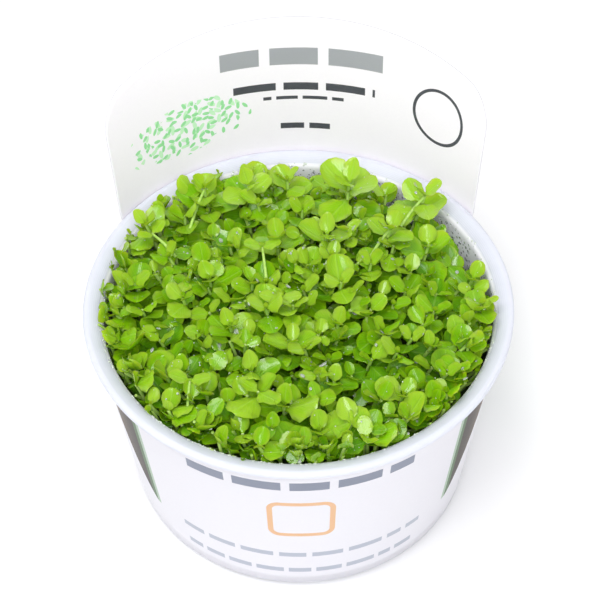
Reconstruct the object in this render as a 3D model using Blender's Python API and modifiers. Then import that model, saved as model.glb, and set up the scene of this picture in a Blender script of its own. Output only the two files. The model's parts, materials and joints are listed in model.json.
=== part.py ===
# Monte Carlo carpet plant in a round plastic culture cup, with a printed label sleeve and a tall tab behind it.
# Metres, +Z up. The origin is the centre of the cup's flat base, the front is -Y and the tab stands at +Y.
import math
import random

import bmesh
import bpy
import numpy as np
from mathutils import Vector

# Cup: a thin cone with a stepped flange round its mouth
RIM_RADIUS = 0.038
CUP_HEIGHT = 0.0435
CUP_WALL = 0.00055
FLOOR_THICKNESS = 0.001
BASE_RADIUS = 0.0310
NECK_RADIUS = 0.03545
FLANGE_STEP_RADIUS = 0.0361
FLANGE_STEP_DROP = 0.0015
FLANGE_THICKNESS = 0.0011
CORNER = 0.0006
CUP_SEGMENTS = 48

# Label: one thin card that wraps the cup and rises behind it as a tab
CARD = 0.00035
GAP = 0.0003
LABEL_BOTTOM = 0.0012
SLEEVE_TOP = 0.0408
TAB_RADIUS = 0.0388
TAB_HALF_WIDTH = 0.0388
TAB_SIDE_HEIGHT = 0.0158
TAB_SHOULDER = 0.0048
TAB_TOP_HEIGHT = 0.0285
TAB_CREST_RADIUS = 0.112
TAB_FLATTEN = (0.25, 0.25)
TAB_LEAN = 0.14
BULGE_FADE = math.radians(26)
SLEEVE_COLUMNS = 26
TAB_COLUMNS = 20
LOWER_ROWS = 3
TAB_ROWS = 4

# What the cup holds: clear gel, then a tangle of stems that the shoots stand on
GEL_TOP = 0.0098
GEL_MENISCUS = 0.0007
MAT_TOP = 0.0362
MAT_LUMP = 0.0006
MAT_WAVES = (260, 220)
MAT_SHOULDER = 0.0012
FOOT_GAP = 0.0005
FILL_SEGMENTS = 32

# Shoots: a leaning stem with pairs of round leaves, each pair turned a quarter from the last
SHOOT_COUNT = 46
SPREAD_TRIALS = 60
TALL_SHOOTS = 9
FIELD_RADIUS = 0.0318
STEM_RADIUS = 0.00042
NECK = 0.00046
PAIR_DROPS = (0.00023, 0.0020, 0.0038, 0.0058)
PAIR_TILTS = (48, 24, 8, -4)
PAIR_LENGTHS = (0.0034, 0.0050, 0.0057, 0.0055)
PETIOLE = 0.0008
LEAF_ASPECT = 0.88
LEAF_HALF_THICKNESS = 0.00026
LEAF_CUP = 0.00022
LEAF_POINTS = 6
LEAF_SWEEP = math.radians(126)
CLEARANCE = 0.00016
SEED = 47

# How much the shoots vary: leaf turn in radians, tilt and roll in degrees, the rest as shares or metres
TURN_SCATTER = 0.22
TILT_SCATTER = 12
ROLL_SCATTER = 16
SIZE_SCATTER = 0.12
SCALE_RANGE = (0.90, 1.10)
LEAN_RANGE = (0.06, 0.14)
DOME_RISE = 0.0022
DOME_FALL = 0.0026
DOME_SCATTER = 0.0014
LEAF_TRIES = 26
STEM_TRIES = 60
STEM_SHIFT = 0.0016

# The shoots that stand out: foot x, y; tip x, y; tip height above the rim; azimuth of the top pair; leaf scale.
# Lengths in millimetres, angles in degrees.
MM = 0.001
NAMED_SHOOTS = (
    (8.6, 19.5, 9.6, 23.0, 6.0, 62, 1.22),
    (19.8, 17.4, 23.4, 20.6, 4.8, 15, 1.05),
    (-15.4, 20.6, -17.2, 24.6, 3.4, 172, 1.00),
    (-8.4, 22.6, -9.0, 25.6, 3.0, 120, 1.00),
    (-1.6, 24.0, -1.8, 27.0, 2.6, 30, 0.95),
    (-23.6, 13.4, -27.6, 16.6, 2.4, 150, 0.98),
    (13.4, 9.4, 16.9, 13.6, 3.4, 55, 1.02),
    (21.6, 8.8, 23.6, 10.6, 2.2, 100, 1.12),
    (30.0, -3.0, 32.0, -3.2, 1.6, 10, 0.98),
    (-26.6, 3.0, -29.0, 3.4, 0.8, 178, 1.02),
    (-21.4, -15.2, -22.4, -17.6, 0.4, 200, 1.22),
    (-14.8, -19.6, -15.6, -21.4, 0.4, 250, 1.12),
    (-2.6, -22.0, -2.6, -24.2, 0.8, 70, 1.16),
    (3.4, -27.4, 3.2, -29.4, 0.4, 290, 1.14),
    (11.4, -29.0, 11.0, -31.0, 0.8, 275, 1.05),
    (-21.0, 17.6, -21.8, 20.2, 1.4, 205, 1.10),
)

COLOURS = {
    "cup": (0.80, 0.84, 0.89, 0.35, 0.0),
    "label": (0.90, 0.90, 0.94, 0.45, 0.0),
    "growth_gel": (0.72, 0.78, 0.66, 0.20, 0.0),
    "stem_mat": (0.10, 0.19, 0.03, 0.60, 0.0),
    "sprig": (0.27, 0.56, 0.04, 0.40, 0.0),
}


def clear_scene():
    """Take away whatever the file opened with."""
    for obj in list(bpy.data.objects):
        bpy.data.objects.remove(obj, do_unlink=True)


def new_collection(name):
    group = bpy.data.collections.new(name)
    bpy.context.scene.collection.children.link(group)
    return group


def new_material(name):
    red, green, blue, roughness, metallic = COLOURS[name]
    mat = bpy.data.materials.new(name)
    mat.use_nodes = True
    shader = mat.node_tree.nodes["Principled BSDF"]
    shader.inputs["Base Color"].default_value = (red, green, blue, 1.0)
    shader.inputs["Roughness"].default_value = roughness
    shader.inputs["Metallic"].default_value = metallic
    return mat


def add_object(name, mesh, group, mat):
    obj = bpy.data.objects.new(name, mesh)
    mesh.materials.append(mat)
    group.objects.link(obj)
    return obj


def mesh_from(bm, name):
    mesh = bpy.data.meshes.new(name)
    bm.to_mesh(mesh)
    bm.free()
    return mesh


def turned(name, profile, segments, group, mat):
    """Spin a profile of (radius, height) points, given down its outer side, about the Z axis."""
    bm = bmesh.new()
    verts = [bm.verts.new((radius, 0.0, height)) for radius, height in profile]
    for first, second in zip(verts, verts[1:]):
        bm.edges.new((first, second))
    obj = add_object(name, mesh_from(bm, name), group, mat)
    screw = obj.modifiers.new("Turn", "SCREW")
    screw.axis = "Z"
    screw.angle = math.tau
    screw.steps = segments
    screw.render_steps = segments
    screw.use_merge_vertices = True
    screw.merge_threshold = 0.00001
    return obj


def wall_outer(z):
    """Outer radius of the cup's cone at a height."""
    return BASE_RADIUS + (NECK_RADIUS - BASE_RADIUS) * z / SLEEVE_TOP


def wall_inner(z):
    return wall_outer(z) - CUP_WALL


def make_cup(group, mat):
    ledge = CUP_HEIGHT - FLANGE_STEP_DROP
    neck = ledge - FLANGE_THICKNESS
    lip = CUP_HEIGHT - FLANGE_THICKNESS
    profile = [
        (0.0, FLOOR_THICKNESS),
        (wall_inner(FLOOR_THICKNESS), FLOOR_THICKNESS),
        (wall_inner(neck), neck),
        (wall_inner(neck) + CORNER, ledge),
        (FLANGE_STEP_RADIUS, ledge),
        (FLANGE_STEP_RADIUS + CORNER / 3, CUP_HEIGHT),
        (RIM_RADIUS - CORNER / 2, CUP_HEIGHT),
        (RIM_RADIUS, CUP_HEIGHT - CORNER / 2),
        (RIM_RADIUS, lip),
        (FLANGE_STEP_RADIUS + CORNER, lip),
        (FLANGE_STEP_RADIUS, neck),
        (wall_outer(neck), neck),
        (wall_outer(CORNER), CORNER),
        (BASE_RADIUS - CORNER, 0.0),
        (0.0, 0.0),
    ]
    return turned("cup", profile, CUP_SEGMENTS, group, mat)


def smooth(t):
    t = min(1.0, max(0.0, t))
    return t * t * (3.0 - 2.0 * t)


def sleeve_radius(angle, z):
    """Outer radius of the card below the rim; angle is measured from the middle of the back."""
    snug = wall_outer(z) + GAP + CARD
    edge = TAB_HALF_WIDTH / TAB_RADIUS
    spread = 1.0 - smooth((abs(angle) - edge) / BULGE_FADE)
    return snug + (TAB_RADIUS - wall_outer(CUP_HEIGHT) - GAP - CARD) * spread * z / CUP_HEIGHT


def tab_top(s):
    """Height of the tab's edge above the rim at a distance s along the card from its middle."""
    crest = TAB_TOP_HEIGHT - TAB_CREST_RADIUS + math.sqrt(TAB_CREST_RADIUS**2 - s * s)
    inset = TAB_HALF_WIDTH - TAB_SHOULDER
    if abs(s) <= inset:
        return crest
    turn = math.sqrt(max(0.0, 1.0 - ((abs(s) - inset) / TAB_SHOULDER) ** 2))
    return TAB_SIDE_HEIGHT + (crest - TAB_SIDE_HEIGHT) * turn


def tab_point(s, h):
    """A point of the tab's outer face, at a distance s along the card and a height h above the rim."""
    share = h / RIM_RADIUS
    radius = TAB_RADIUS * (1.0 + TAB_FLATTEN[0] * share + TAB_FLATTEN[1] * share * share)
    back = TAB_RADIUS + TAB_LEAN * h - radius + radius * math.cos(s / radius)
    return Vector((radius * math.sin(s / radius), back, CUP_HEIGHT + h))


def tab_stations():
    """Distances along the card for the tab's columns, closer together where the shoulders turn."""
    turns = [math.sin(math.pi / 2 * k / TAB_COLUMNS) for k in range(-TAB_COLUMNS, TAB_COLUMNS + 1, 2)]
    return [TAB_HALF_WIDTH * turn for turn in turns]


def make_label(group, mat):
    """The card's outer face as one open sheet, given its thickness by Solidify."""
    stations = tab_stations()
    edge = TAB_HALF_WIDTH / TAB_RADIUS
    sweep = math.tau - 2 * edge
    angles = [s / TAB_RADIUS for s in stations]
    angles += [edge + sweep * k / SLEEVE_COLUMNS for k in range(1, SLEEVE_COLUMNS)]
    heights = [LABEL_BOTTOM + (SLEEVE_TOP - LABEL_BOTTOM) * k / LOWER_ROWS for k in range(LOWER_ROWS + 1)]
    bm = bmesh.new()
    columns = []
    for angle in angles:
        column = []
        for z in heights:
            radius = sleeve_radius(angle, z)
            column.append(bm.verts.new((radius * math.sin(angle), radius * math.cos(angle), z)))
        columns.append(column)
    for s, column in zip(stations, columns):
        for k in range(TAB_ROWS + 1):
            column.append(bm.verts.new(tab_point(s, tab_top(s) * k / TAB_ROWS)))
    for k, column in enumerate(columns):
        following = columns[(k + 1) % len(columns)]
        for row in range(min(len(column), len(following)) - 1):
            if row >= LOWER_ROWS and (k >= len(stations) - 1):
                continue
            bm.faces.new((following[row], column[row], column[row + 1], following[row + 1]))
    obj = add_object("label", mesh_from(bm, "label"), group, mat)
    solidify = obj.modifiers.new("Card", "SOLIDIFY")
    solidify.thickness = CARD
    solidify.offset = -1.0
    return obj


def make_gel(group, mat):
    bottom = FLOOR_THICKNESS + GAP
    lift = 2 * CORNER
    profile = [
        (0.0, GEL_TOP),
        (wall_inner(GEL_TOP) * 0.9, GEL_TOP),
        (wall_inner(GEL_TOP) - GAP, GEL_TOP + GEL_MENISCUS),
        (wall_inner(bottom + lift) - GAP, bottom + lift),
        (wall_inner(bottom) - GAP - lift, bottom),
        (0.0, bottom),
    ]
    return turned("growth_gel", profile, FILL_SEGMENTS, group, mat)


def mat_height(x, y):
    """Height of the lumpy tangle of stems that the shoots stand on."""
    lumps = math.sin(x * MAT_WAVES[0] + 0.7) * math.cos(y * MAT_WAVES[1] - 0.4)
    sag = MAT_SHOULDER * (math.hypot(x, y) / wall_inner(MAT_TOP)) ** 4
    return MAT_TOP + MAT_LUMP * lumps - sag


def make_mat(group, mat):
    """A tapered plug whose top is cut finer and follows mat_height."""
    bottom = GEL_TOP + GEL_MENISCUS + GAP
    reach = wall_inner(MAT_TOP) - 2 * GAP
    bm = bmesh.new()
    bmesh.ops.create_cone(bm, cap_ends=True, cap_tris=True, segments=FILL_SEGMENTS,
                          radius1=wall_inner(bottom) - 2 * GAP, radius2=reach, depth=MAT_TOP - bottom)
    for vert in bm.verts:
        vert.co.z += (MAT_TOP + bottom) / 2
    centre = max((v for v in bm.verts if v.co.xy.length < CORNER), key=lambda v: v.co.z)
    spokes = [edge for edge in centre.link_edges]
    bmesh.ops.subdivide_edges(bm, edges=spokes, cuts=3, use_grid_fill=False)
    bmesh.ops.triangulate(bm, faces=[face for face in bm.faces if len(face.verts) > 4])
    for vert in bm.verts:
        if vert.co.z > MAT_TOP - CORNER:
            vert.co.z = mat_height(vert.co.x, vert.co.y)
    return add_object("stem_mat", mesh_from(bm, "stem_mat"), group, mat)


def leaf_axes(azimuth, tilt, roll):
    """Rows: along the leaf, across it, and out of its upper face."""
    along = np.array((math.cos(tilt) * math.cos(azimuth), math.cos(tilt) * math.sin(azimuth), math.sin(tilt)))
    level = np.array((-math.sin(azimuth), math.cos(azimuth), 0.0))
    upright = np.cross(along, level)
    across = math.cos(roll) * level + math.sin(roll) * upright
    return np.array((along, across, np.cross(along, across)))


def disc_samples():
    """Points of a unit disc, with their share of its radius: the middle, a ring of 8 and a rim of 20."""
    points = [(0.0, 0.0, 0.0)]
    for share, count in ((0.55, 8), (1.0, 20)):
        for k in range(count):
            turn = math.tau * k / count
            points.append((share * math.cos(turn), share * math.sin(turn), share))
    return np.array(points)


DISC = disc_samples()


class Leaf:
    """A leaf blade as an oval disc on a short stalk that starts on its stem's axis."""

    def __init__(self, root, axes, length, pair, side, drop):
        self.root = root
        self.pair = pair
        self.side = side
        self.drop = drop
        self.axes = axes
        self.length = length
        self.half = np.array((length / 2, length * LEAF_ASPECT / 2))
        self.centre = root + axes[0] * (PETIOLE + length / 2)
        self.samples = self.centre + (DISC[:, :2] * self.half) @ axes[:2]


class Thicket:
    """The leaves and stems placed so far, with tests that keep new ones clear of them."""

    def __init__(self):
        self.leaves = []
        self.stems = []

    def inside(self, points):
        """True if points keep clear of the cup's wall, its flange, the tab and the mat below."""
        reach = np.hypot(points[:, 0], points[:, 1])
        low = points[:, 2] < CUP_HEIGHT + 2 * GAP
        wall = np.array([wall_inner(z) for z in np.minimum(points[:, 2], CUP_HEIGHT)]) - 2 * GAP
        floor = np.array([mat_height(x, y) for x, y in points[:, :2]]) + 2 * GAP
        over = np.where(points[:, 1] > 0, TAB_RADIUS - CARD - 3 * GAP, RIM_RADIUS)
        return bool((np.where(low, reach < wall, reach < over) & (points[:, 2] > floor)).all())

    def touches(self, leaf, other):
        """True if either leaf's points come nearer the other's blade than the clearance."""
        for first, second in ((leaf, other), (other, leaf)):
            local = (first.samples - second.centre) @ second.axes.T
            share = np.hypot(*(local[:, :2] / (second.half + CLEARANCE)).T)
            room = CLEARANCE + LEAF_HALF_THICKNESS * (2.4 - DISC[:, 2] - np.minimum(share, 1.0))
            if ((share < 1.0) & (np.abs(local[:, 2]) < room)).any():
                return True
        return False

    def leaf_fits(self, leaf, own_stem):
        if not self.inside(leaf.samples):
            return False
        for other in self.leaves:
            near = leaf.half[0] + other.half[0] + 2 * CLEARANCE
            if np.linalg.norm(leaf.centre - other.centre) < near and self.touches(leaf, other):
                return False
        return not any(self.stem_hits(stem, leaf) for stem in self.stems if stem is not own_stem)

    def stem_hits(self, stem, leaf):
        local = (stem - leaf.centre) @ leaf.axes.T
        share = np.hypot(*(local[:, :2] / (leaf.half + CLEARANCE + STEM_RADIUS)).T)
        return bool(((share < 1.0) & (np.abs(local[:, 2]) < STEM_RADIUS + 2 * CLEARANCE)).any())

    def stem_fits(self, stem):
        if any(self.stem_hits(stem, leaf) for leaf in self.leaves):
            return False
        for other in self.stems:
            apart = np.linalg.norm(stem[:, None] - other[None], axis=2).min()
            if apart < 2 * STEM_RADIUS + 2 * CLEARANCE:
                return False
        return True


def stem_points(foot, tip):
    count = max(3, int(np.linalg.norm(tip - foot) / STEM_RADIUS / 1.5))
    return foot + (tip - foot) * np.linspace(0.0, 1.0, count)[:, None]


def canopy_height(x, y, rng):
    """Height of a shoot's tip: a low dome over the rim that falls away at the wall."""
    fall = (math.hypot(x, y) / FIELD_RADIUS) ** 2
    return CUP_HEIGHT + DOME_RISE - DOME_FALL * fall + rng.uniform(-DOME_SCATTER, DOME_SCATTER)


def shoot_plans(rng):
    """Foot, tip, azimuth and leaf scale of every shoot: the named ones, then others spread between them."""
    plans = []
    for foot_x, foot_y, tip_x, tip_y, rise, azimuth, scale in NAMED_SHOOTS:
        foot = np.array((foot_x * MM, foot_y * MM, mat_height(foot_x * MM, foot_y * MM) + FOOT_GAP))
        tip = np.array((tip_x * MM, tip_y * MM, CUP_HEIGHT + rise * MM))
        plans.append((foot, tip, math.radians(azimuth), scale))
    while len(plans) < SHOOT_COUNT:
        trials = []
        for _ in range(SPREAD_TRIALS):
            reach = FIELD_RADIUS * math.sqrt(rng.random())
            turn = rng.uniform(0.0, math.tau)
            x, y = reach * math.cos(turn), reach * math.sin(turn)
            room = min(math.hypot(x - plan[1][0], y - plan[1][1]) for plan in plans)
            trials.append((room, x, y))
        _, x, y = max(trials)
        lean = rng.uniform(*LEAN_RANGE)
        foot_x, foot_y = x * (1 - lean), y * (1 - lean)
        foot = np.array((foot_x, foot_y, mat_height(foot_x, foot_y) + FOOT_GAP))
        tip = np.array((x, y, canopy_height(x, y, rng)))
        plans.append((foot, tip, rng.uniform(0.0, math.tau), rng.uniform(*SCALE_RANGE)))
    return plans


def grow_pairs(thicket, stem, foot, tip, azimuth, scale, pairs, rng):
    """Leaf pairs down a stem, each leaf tried at a few turns, tilts and sizes until it is clear."""
    leaves = []
    height = np.linalg.norm(foot - tip)
    down = (foot - tip) / height
    for pair in range(pairs):
        drop = PAIR_DROPS[pair]
        if drop > height - NECK:
            break
        for side in (0, 1):
            for attempt in range(LEAF_TRIES):
                ease = attempt / LEAF_TRIES
                turn = azimuth + math.pi / 2 * pair + math.pi * side
                turn += rng.uniform(-TURN_SCATTER, TURN_SCATTER) * (1 + 2 * ease)
                raised = PAIR_TILTS[pair] + rng.uniform(-TILT_SCATTER, TILT_SCATTER) * (1 + 1.6 * ease)
                roll = rng.uniform(-ROLL_SCATTER, ROLL_SCATTER)
                size = scale * PAIR_LENGTHS[pair] * (1 + rng.uniform(-SIZE_SCATTER, SIZE_SCATTER)) * (1 - 0.42 * ease)
                axes = leaf_axes(turn, math.radians(raised), math.radians(roll))
                leaf = Leaf(tip + down * drop, axes, size, pair, side, drop)
                if thicket.leaf_fits(leaf, stem):
                    leaves.append(leaf)
                    thicket.leaves.append(leaf)
                    break
    return leaves


def grow_shoots():
    rng = random.Random(SEED)
    thicket = Thicket()
    shoots = []
    for foot, tip, azimuth, scale in shoot_plans(rng):
        stem = stem_points(foot, tip)
        for _ in range(STEM_TRIES):
            if thicket.stem_fits(stem):
                break
            shift = np.array((rng.uniform(-1, 1), rng.uniform(-1, 1), 0.0)) * STEM_SHIFT
            tip_x, tip_y = (tip + shift)[:2]
            if math.hypot(tip_x, tip_y) > FIELD_RADIUS:
                continue
            moved = foot + shift
            moved[2] = mat_height(moved[0], moved[1]) + FOOT_GAP
            stem = stem_points(moved, tip + shift)
        else:
            continue
        foot, tip = stem[0], stem[-1]
        thicket.stems.append(stem)
        pairs = len(PAIR_DROPS) - (len(shoots) >= TALL_SHOOTS)
        leaves = grow_pairs(thicket, stem, foot, tip, azimuth, scale, pairs, rng)
        shoots.append((foot, tip, azimuth, leaves))
    return shoots


def stem_ring(bm, middle, azimuth, radius):
    """Four corners round a stem, so that its flat sides look along the leaf pairs."""
    turns = [azimuth + math.pi / 4 + math.pi / 2 * k for k in range(4)]
    return [bm.verts.new(middle + Vector((math.cos(t), math.sin(t), 0.0)) * radius * math.sqrt(2)) for t in turns]


def add_side(bm, low, high, side, leaf):
    """One flat side of a stem between two rings, or the leaf that grows out of it."""
    corners = low[side - 1], low[side], high[side], high[side - 1]
    if leaf is None:
        bm.faces.new(corners)
        return
    low_right, low_left, high_left, high_right = corners
    along, across, up = (Vector(axis) for axis in leaf.axes)
    rim = []
    for k in range(LEAF_POINTS):
        turn = LEAF_SWEEP * (1 - 2 * k / (LEAF_POINTS - 1))
        reach = PETIOLE + leaf.length / 2 * (1 + math.cos(turn))
        offset = leaf.length * LEAF_ASPECT / 2 * math.sin(turn)
        rim.append(bm.verts.new(Vector(leaf.root) + along * reach + across * offset))
    upper = bm.faces.new((high_right, *reversed(rim), high_left))
    lower = bm.faces.new((low_left, *rim, low_right))
    bm.faces.new((high_left, rim[0], low_left))
    bm.faces.new((high_right, low_right, rim[-1]))
    middle = Vector(leaf.centre) - up * LEAF_CUP
    for face, lift in ((upper, 1), (lower, -1)):
        for vert in bmesh.ops.poke(bm, faces=[face])["verts"]:
            vert.co = middle + up * lift * LEAF_HALF_THICKNESS


def make_shoot(number, shoot, group, mat):
    """A square stem with a leaf grown out of two opposite sides at each pair."""
    foot, tip, azimuth, leaves = shoot
    name = f"sprig_{number:02d}"
    length = float(np.linalg.norm(tip - foot))
    bm = bmesh.new()
    ring = stem_ring(bm, Vector(foot), azimuth, STEM_RADIUS)
    bm.faces.new(reversed(ring))
    pairs = sorted({leaf.pair for leaf in leaves}, reverse=True)
    for pair in pairs:
        drop = next(leaf.drop for leaf in leaves if leaf.pair == pair)
        for end in (1, -1):
            middle = Vector(foot + (tip - foot) * (length - drop - end * NECK / 2) / length)
            following = stem_ring(bm, middle, azimuth, STEM_RADIUS)
            for side in range(4):
                grown = [leaf for leaf in leaves if leaf.pair == pair and (leaf.pair + 2 * leaf.side) % 4 == side]
                add_side(bm, ring, following, side, grown[0] if grown and end < 0 else None)
            ring = following
    bm.faces.new(ring)
    return add_object(name, mesh_from(bm, name), group, mat)


def main():
    clear_scene()
    group = new_collection("monte_carlo_carpet_plant")
    mats = {name: new_material(name) for name in COLOURS}
    make_cup(group, mats["cup"]).data.shade_smooth()
    make_label(group, mats["label"]).data.shade_smooth()
    make_gel(group, mats["growth_gel"]).data.shade_smooth()
    make_mat(group, mats["stem_mat"])
    for number, shoot in enumerate(grow_shoots(), 1):
        make_shoot(number, shoot, group, mats["sprig"])


main()
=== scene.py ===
# Monte Carlo carpet plant in a round plastic culture cup: the finish of every piece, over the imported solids.
# Metres, +Z up. The origin is the centre of the cup's base, the front is -Y and the tab stands at +Y.
import functools
import json
import math
import random

import bmesh
import bpy
import numpy as np
from bpy.props import FloatProperty, FloatVectorProperty, IntProperty, PointerProperty
from mathutils import Matrix, Vector

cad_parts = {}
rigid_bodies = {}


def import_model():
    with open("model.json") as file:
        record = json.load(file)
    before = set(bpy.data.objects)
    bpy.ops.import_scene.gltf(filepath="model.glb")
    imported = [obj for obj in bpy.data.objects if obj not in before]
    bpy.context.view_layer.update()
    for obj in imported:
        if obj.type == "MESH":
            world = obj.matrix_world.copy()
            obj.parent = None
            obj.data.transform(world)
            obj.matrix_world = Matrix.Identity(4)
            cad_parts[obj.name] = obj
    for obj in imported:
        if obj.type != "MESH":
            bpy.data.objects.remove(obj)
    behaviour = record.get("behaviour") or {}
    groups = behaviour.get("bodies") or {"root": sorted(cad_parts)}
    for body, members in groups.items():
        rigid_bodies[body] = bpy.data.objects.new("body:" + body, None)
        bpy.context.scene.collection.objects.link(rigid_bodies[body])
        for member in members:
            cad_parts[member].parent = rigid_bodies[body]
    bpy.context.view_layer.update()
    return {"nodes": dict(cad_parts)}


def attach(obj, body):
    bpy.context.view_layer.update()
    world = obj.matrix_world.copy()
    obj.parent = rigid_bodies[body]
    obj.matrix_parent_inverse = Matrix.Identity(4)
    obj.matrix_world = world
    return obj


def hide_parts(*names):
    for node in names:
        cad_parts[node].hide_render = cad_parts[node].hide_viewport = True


bl_info = {
    "name": "Monte Carlo carpet plant",
    "version": (1, 0, 0),
    "blender": (4, 5, 0),
    "location": "View3D > Sidebar > Carpet plant",
    "description": "A culture cup full of round-leaved carpet plant, with a printed card round it",
    "category": "Object",
}

for leftover in list(bpy.data.objects):
    bpy.data.objects.remove(leftover, do_unlink=True)
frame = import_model()
SPRIG_NODES = sorted(name for name in frame["nodes"] if name.startswith("sprig_"))

MM = 0.001
# Too small to see: how near points merge, and how far the wet strip stands off the wall
HAIR = 0.00001

# Cup: a thin cone with a stepped flange round its mouth
RIM_RADIUS = 0.038
CUP_HEIGHT = 0.0435
CUP_WALL = 0.00055
FLOOR_THICKNESS = 0.001
BASE_RADIUS = 0.0310
NECK_RADIUS = 0.03545
FLANGE_STEP_RADIUS = 0.0361
FLANGE_STEP_DROP = 0.0015
FLANGE_THICKNESS = 0.0011
CORNER = 0.0006
# The flange's outer flat lies a little under its lip
FLAT_HEIGHT = CUP_HEIGHT - 0.00008
# The flange's face is dished: it dips inwards to this ring, and the wall under it thickens from this height
DISH_RADIUS = 0.0352
DISH_DROP = 0.0008
WALL_BEND = 0.0302
CORNER_POINTS = 3
FOOT_RING_RADIUS = 0.0285
FOOT_RING_HEIGHT = 0.0004

# Label: one thin card that wraps the cup and rises behind it as a tab
CARD = 0.00035
GAP = 0.0003
LABEL_BOTTOM = 0.0012
SLEEVE_TOP = 0.0408
TAB_RADIUS = 0.0388
TAB_HALF_WIDTH = 0.0388
TAB_SIDE_HEIGHT = 0.0158
TAB_SHOULDER = 0.0048
TAB_TOP_HEIGHT = 0.0285
TAB_CREST_RADIUS = 0.112
TAB_FLATTEN = (0.25, 0.25)
TAB_LEAN = 0.14
BULGE_FADE = math.radians(26)
SLEEVE_COLUMNS = 96
TAB_COLUMNS = 56
LOWER_ROWS = 14
TAB_ROWS = 18

# Printed patches, in card millimetres: the ink, then the middle, height, half length and half height, and
# either a bar's length and shift or a leaf's size
PATCH_INPUTS = ("Along", "Up", "Middle", "Height", "Half length", "Half height")
TAB_BARS = (
    ("pale_ink", 1.5, 63.9, 15.6, 1.80, 11.0, 0.30),
    ("dark_ink", 1.5, 57.4, 13.6, 0.80, 8.0, 0.15),
    ("dark_ink", 1.5, 54.9, 7.6, 0.36, 5.0, 0.60),
    ("dark_ink", 1.5, 48.6, 5.0, 0.62, 5.5, 0.40),
)
TAB_LEAVES = (("mint", -22.0, 52.6, 13.0, 6.0, 1.9), ("mint_deep", -21.0, 52.6, 13.0, 6.0, 1.5))
FRONT_BARS = (
    ("slate_ink", 0.0, 37.0, 22.0, 1.30, 9.0, 0.10),
    ("faint_ink", 0.0, 12.2, 27.0, 0.75, 7.0, 0.55),
    ("faint_ink", 0.0, 6.2, 26.5, 0.75, 6.0, 0.35),
)
BACK_LEAVES = (("mint", 0.0, 20.0, 20.0, 15.0, 4.6), ("mint_deep", 0.0, 20.0, 20.0, 15.0, 3.4))
# The ring's middle, radius and half the width of its line
TAB_RING = (28.2, 57.0, 5.2, 0.30)
# Half the way round the card. Places round it are measured from the middle of the front.
HALF_ROUND = math.pi * TAB_RADIUS / MM
# The frame's middle and half size each way, then its corner radius and half the width of its line
FRAME_ALONG = (0.0, 4.2)
FRAME_UP = (25.4, 3.6)
FRAME_LINE = (1.9, 0.55)
# The pointed bands: their heights, their front edge in each of three inks, where their rear edge starts at
# the point and how far it swings back, and where their brown pales
BAND_FOOT = 11.0
BAND_HEAD = 41.0
BAND_EDGES = (34.5, 35.5, 36.8)
BAND_POINT = 35.4
BAND_SWING = 15.0
BAND_FADE = (39.0, 54.0)
# The middle of the pale leaves round the back, and the seam with half its width
BACK_MIDDLE = 78.0
SEAM = (-104.0, 0.12)

# What the cup holds: clear gel, then a tangle of stems that the shoots stand on
GEL_TOP = 0.0098
GEL_MENISCUS = 0.0007
MAT_TOP = 0.0362
MAT_LUMP = 0.0006
MAT_WAVES = (260, 220)
MAT_SHOULDER = 0.0012
FOOT_GAP = 0.0005

# Shoots: a leaning stem with pairs of round leaves, each pair turned a quarter from the last
SHOOT_COUNT = 46
SPREAD_TRIALS = 60
TALL_SHOOTS = 9
FIELD_RADIUS = 0.0318
STEM_RADIUS = 0.00042
NECK = 0.00046
PAIR_DROPS = (0.00023, 0.0020, 0.0038, 0.0058)
PAIR_TILTS = (48, 24, 8, -4)
PAIR_LENGTHS = (0.0034, 0.0050, 0.0057, 0.0055)
PETIOLE = 0.0008
LEAF_ASPECT = 0.88
LEAF_HALF_THICKNESS = 0.00026
CLEARANCE = 0.00016
SEED = 47

# How much the shoots vary: leaf turn in radians, tilt and roll in degrees, the rest as shares or metres
TURN_SCATTER = 0.22
TILT_SCATTER = 12
ROLL_SCATTER = 16
SIZE_SCATTER = 0.12
SCALE_RANGE = (0.90, 1.10)
LEAN_RANGE = (0.06, 0.14)
DOME_RISE = 0.0022
DOME_FALL = 0.0026
DOME_SCATTER = 0.0014
LEAF_TRIES = 26
STEM_TRIES = 60
STEM_SHIFT = 0.0016
# By its last try a leaf turns and tilts this much more freely and has shrunk by this share
TRY_TURN = 2.0
TRY_TILT = 1.6
TRY_SHRINK = 0.42

# The shoots that stand out: foot x, y; tip x, y; tip height above the rim; azimuth of the top pair; leaf
# scale. Lengths in millimetres, angles in degrees.
NAMED_SHOOTS = (
    (8.6, 19.5, 9.6, 23.0, 6.0, 62, 1.22),
    (19.8, 17.4, 23.4, 20.6, 4.8, 15, 1.05),
    (-15.4, 20.6, -17.2, 24.6, 3.4, 172, 1.00),
    (-8.4, 22.6, -9.0, 25.6, 3.0, 120, 1.00),
    (-1.6, 24.0, -1.8, 27.0, 2.6, 30, 0.95),
    (-23.6, 13.4, -27.6, 16.6, 2.4, 150, 0.98),
    (13.4, 9.4, 16.9, 13.6, 3.4, 55, 1.02),
    (21.6, 8.8, 23.6, 10.6, 2.2, 100, 1.12),
    (30.0, -3.0, 32.0, -3.2, 1.6, 10, 0.98),
    (-26.6, 3.0, -29.0, 3.4, 0.8, 178, 1.02),
    (-21.4, -15.2, -22.4, -17.6, 0.4, 200, 1.22),
    (-14.8, -19.6, -15.6, -21.4, 0.4, 250, 1.12),
    (-2.6, -22.0, -2.6, -24.2, 0.8, 70, 1.16),
    (3.4, -27.4, 3.2, -29.4, 0.4, 290, 1.14),
    (11.4, -29.0, 11.0, -31.0, 0.8, 275, 1.05),
    (-21.0, 17.6, -21.8, 20.2, 1.4, 205, 1.10),
)

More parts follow.
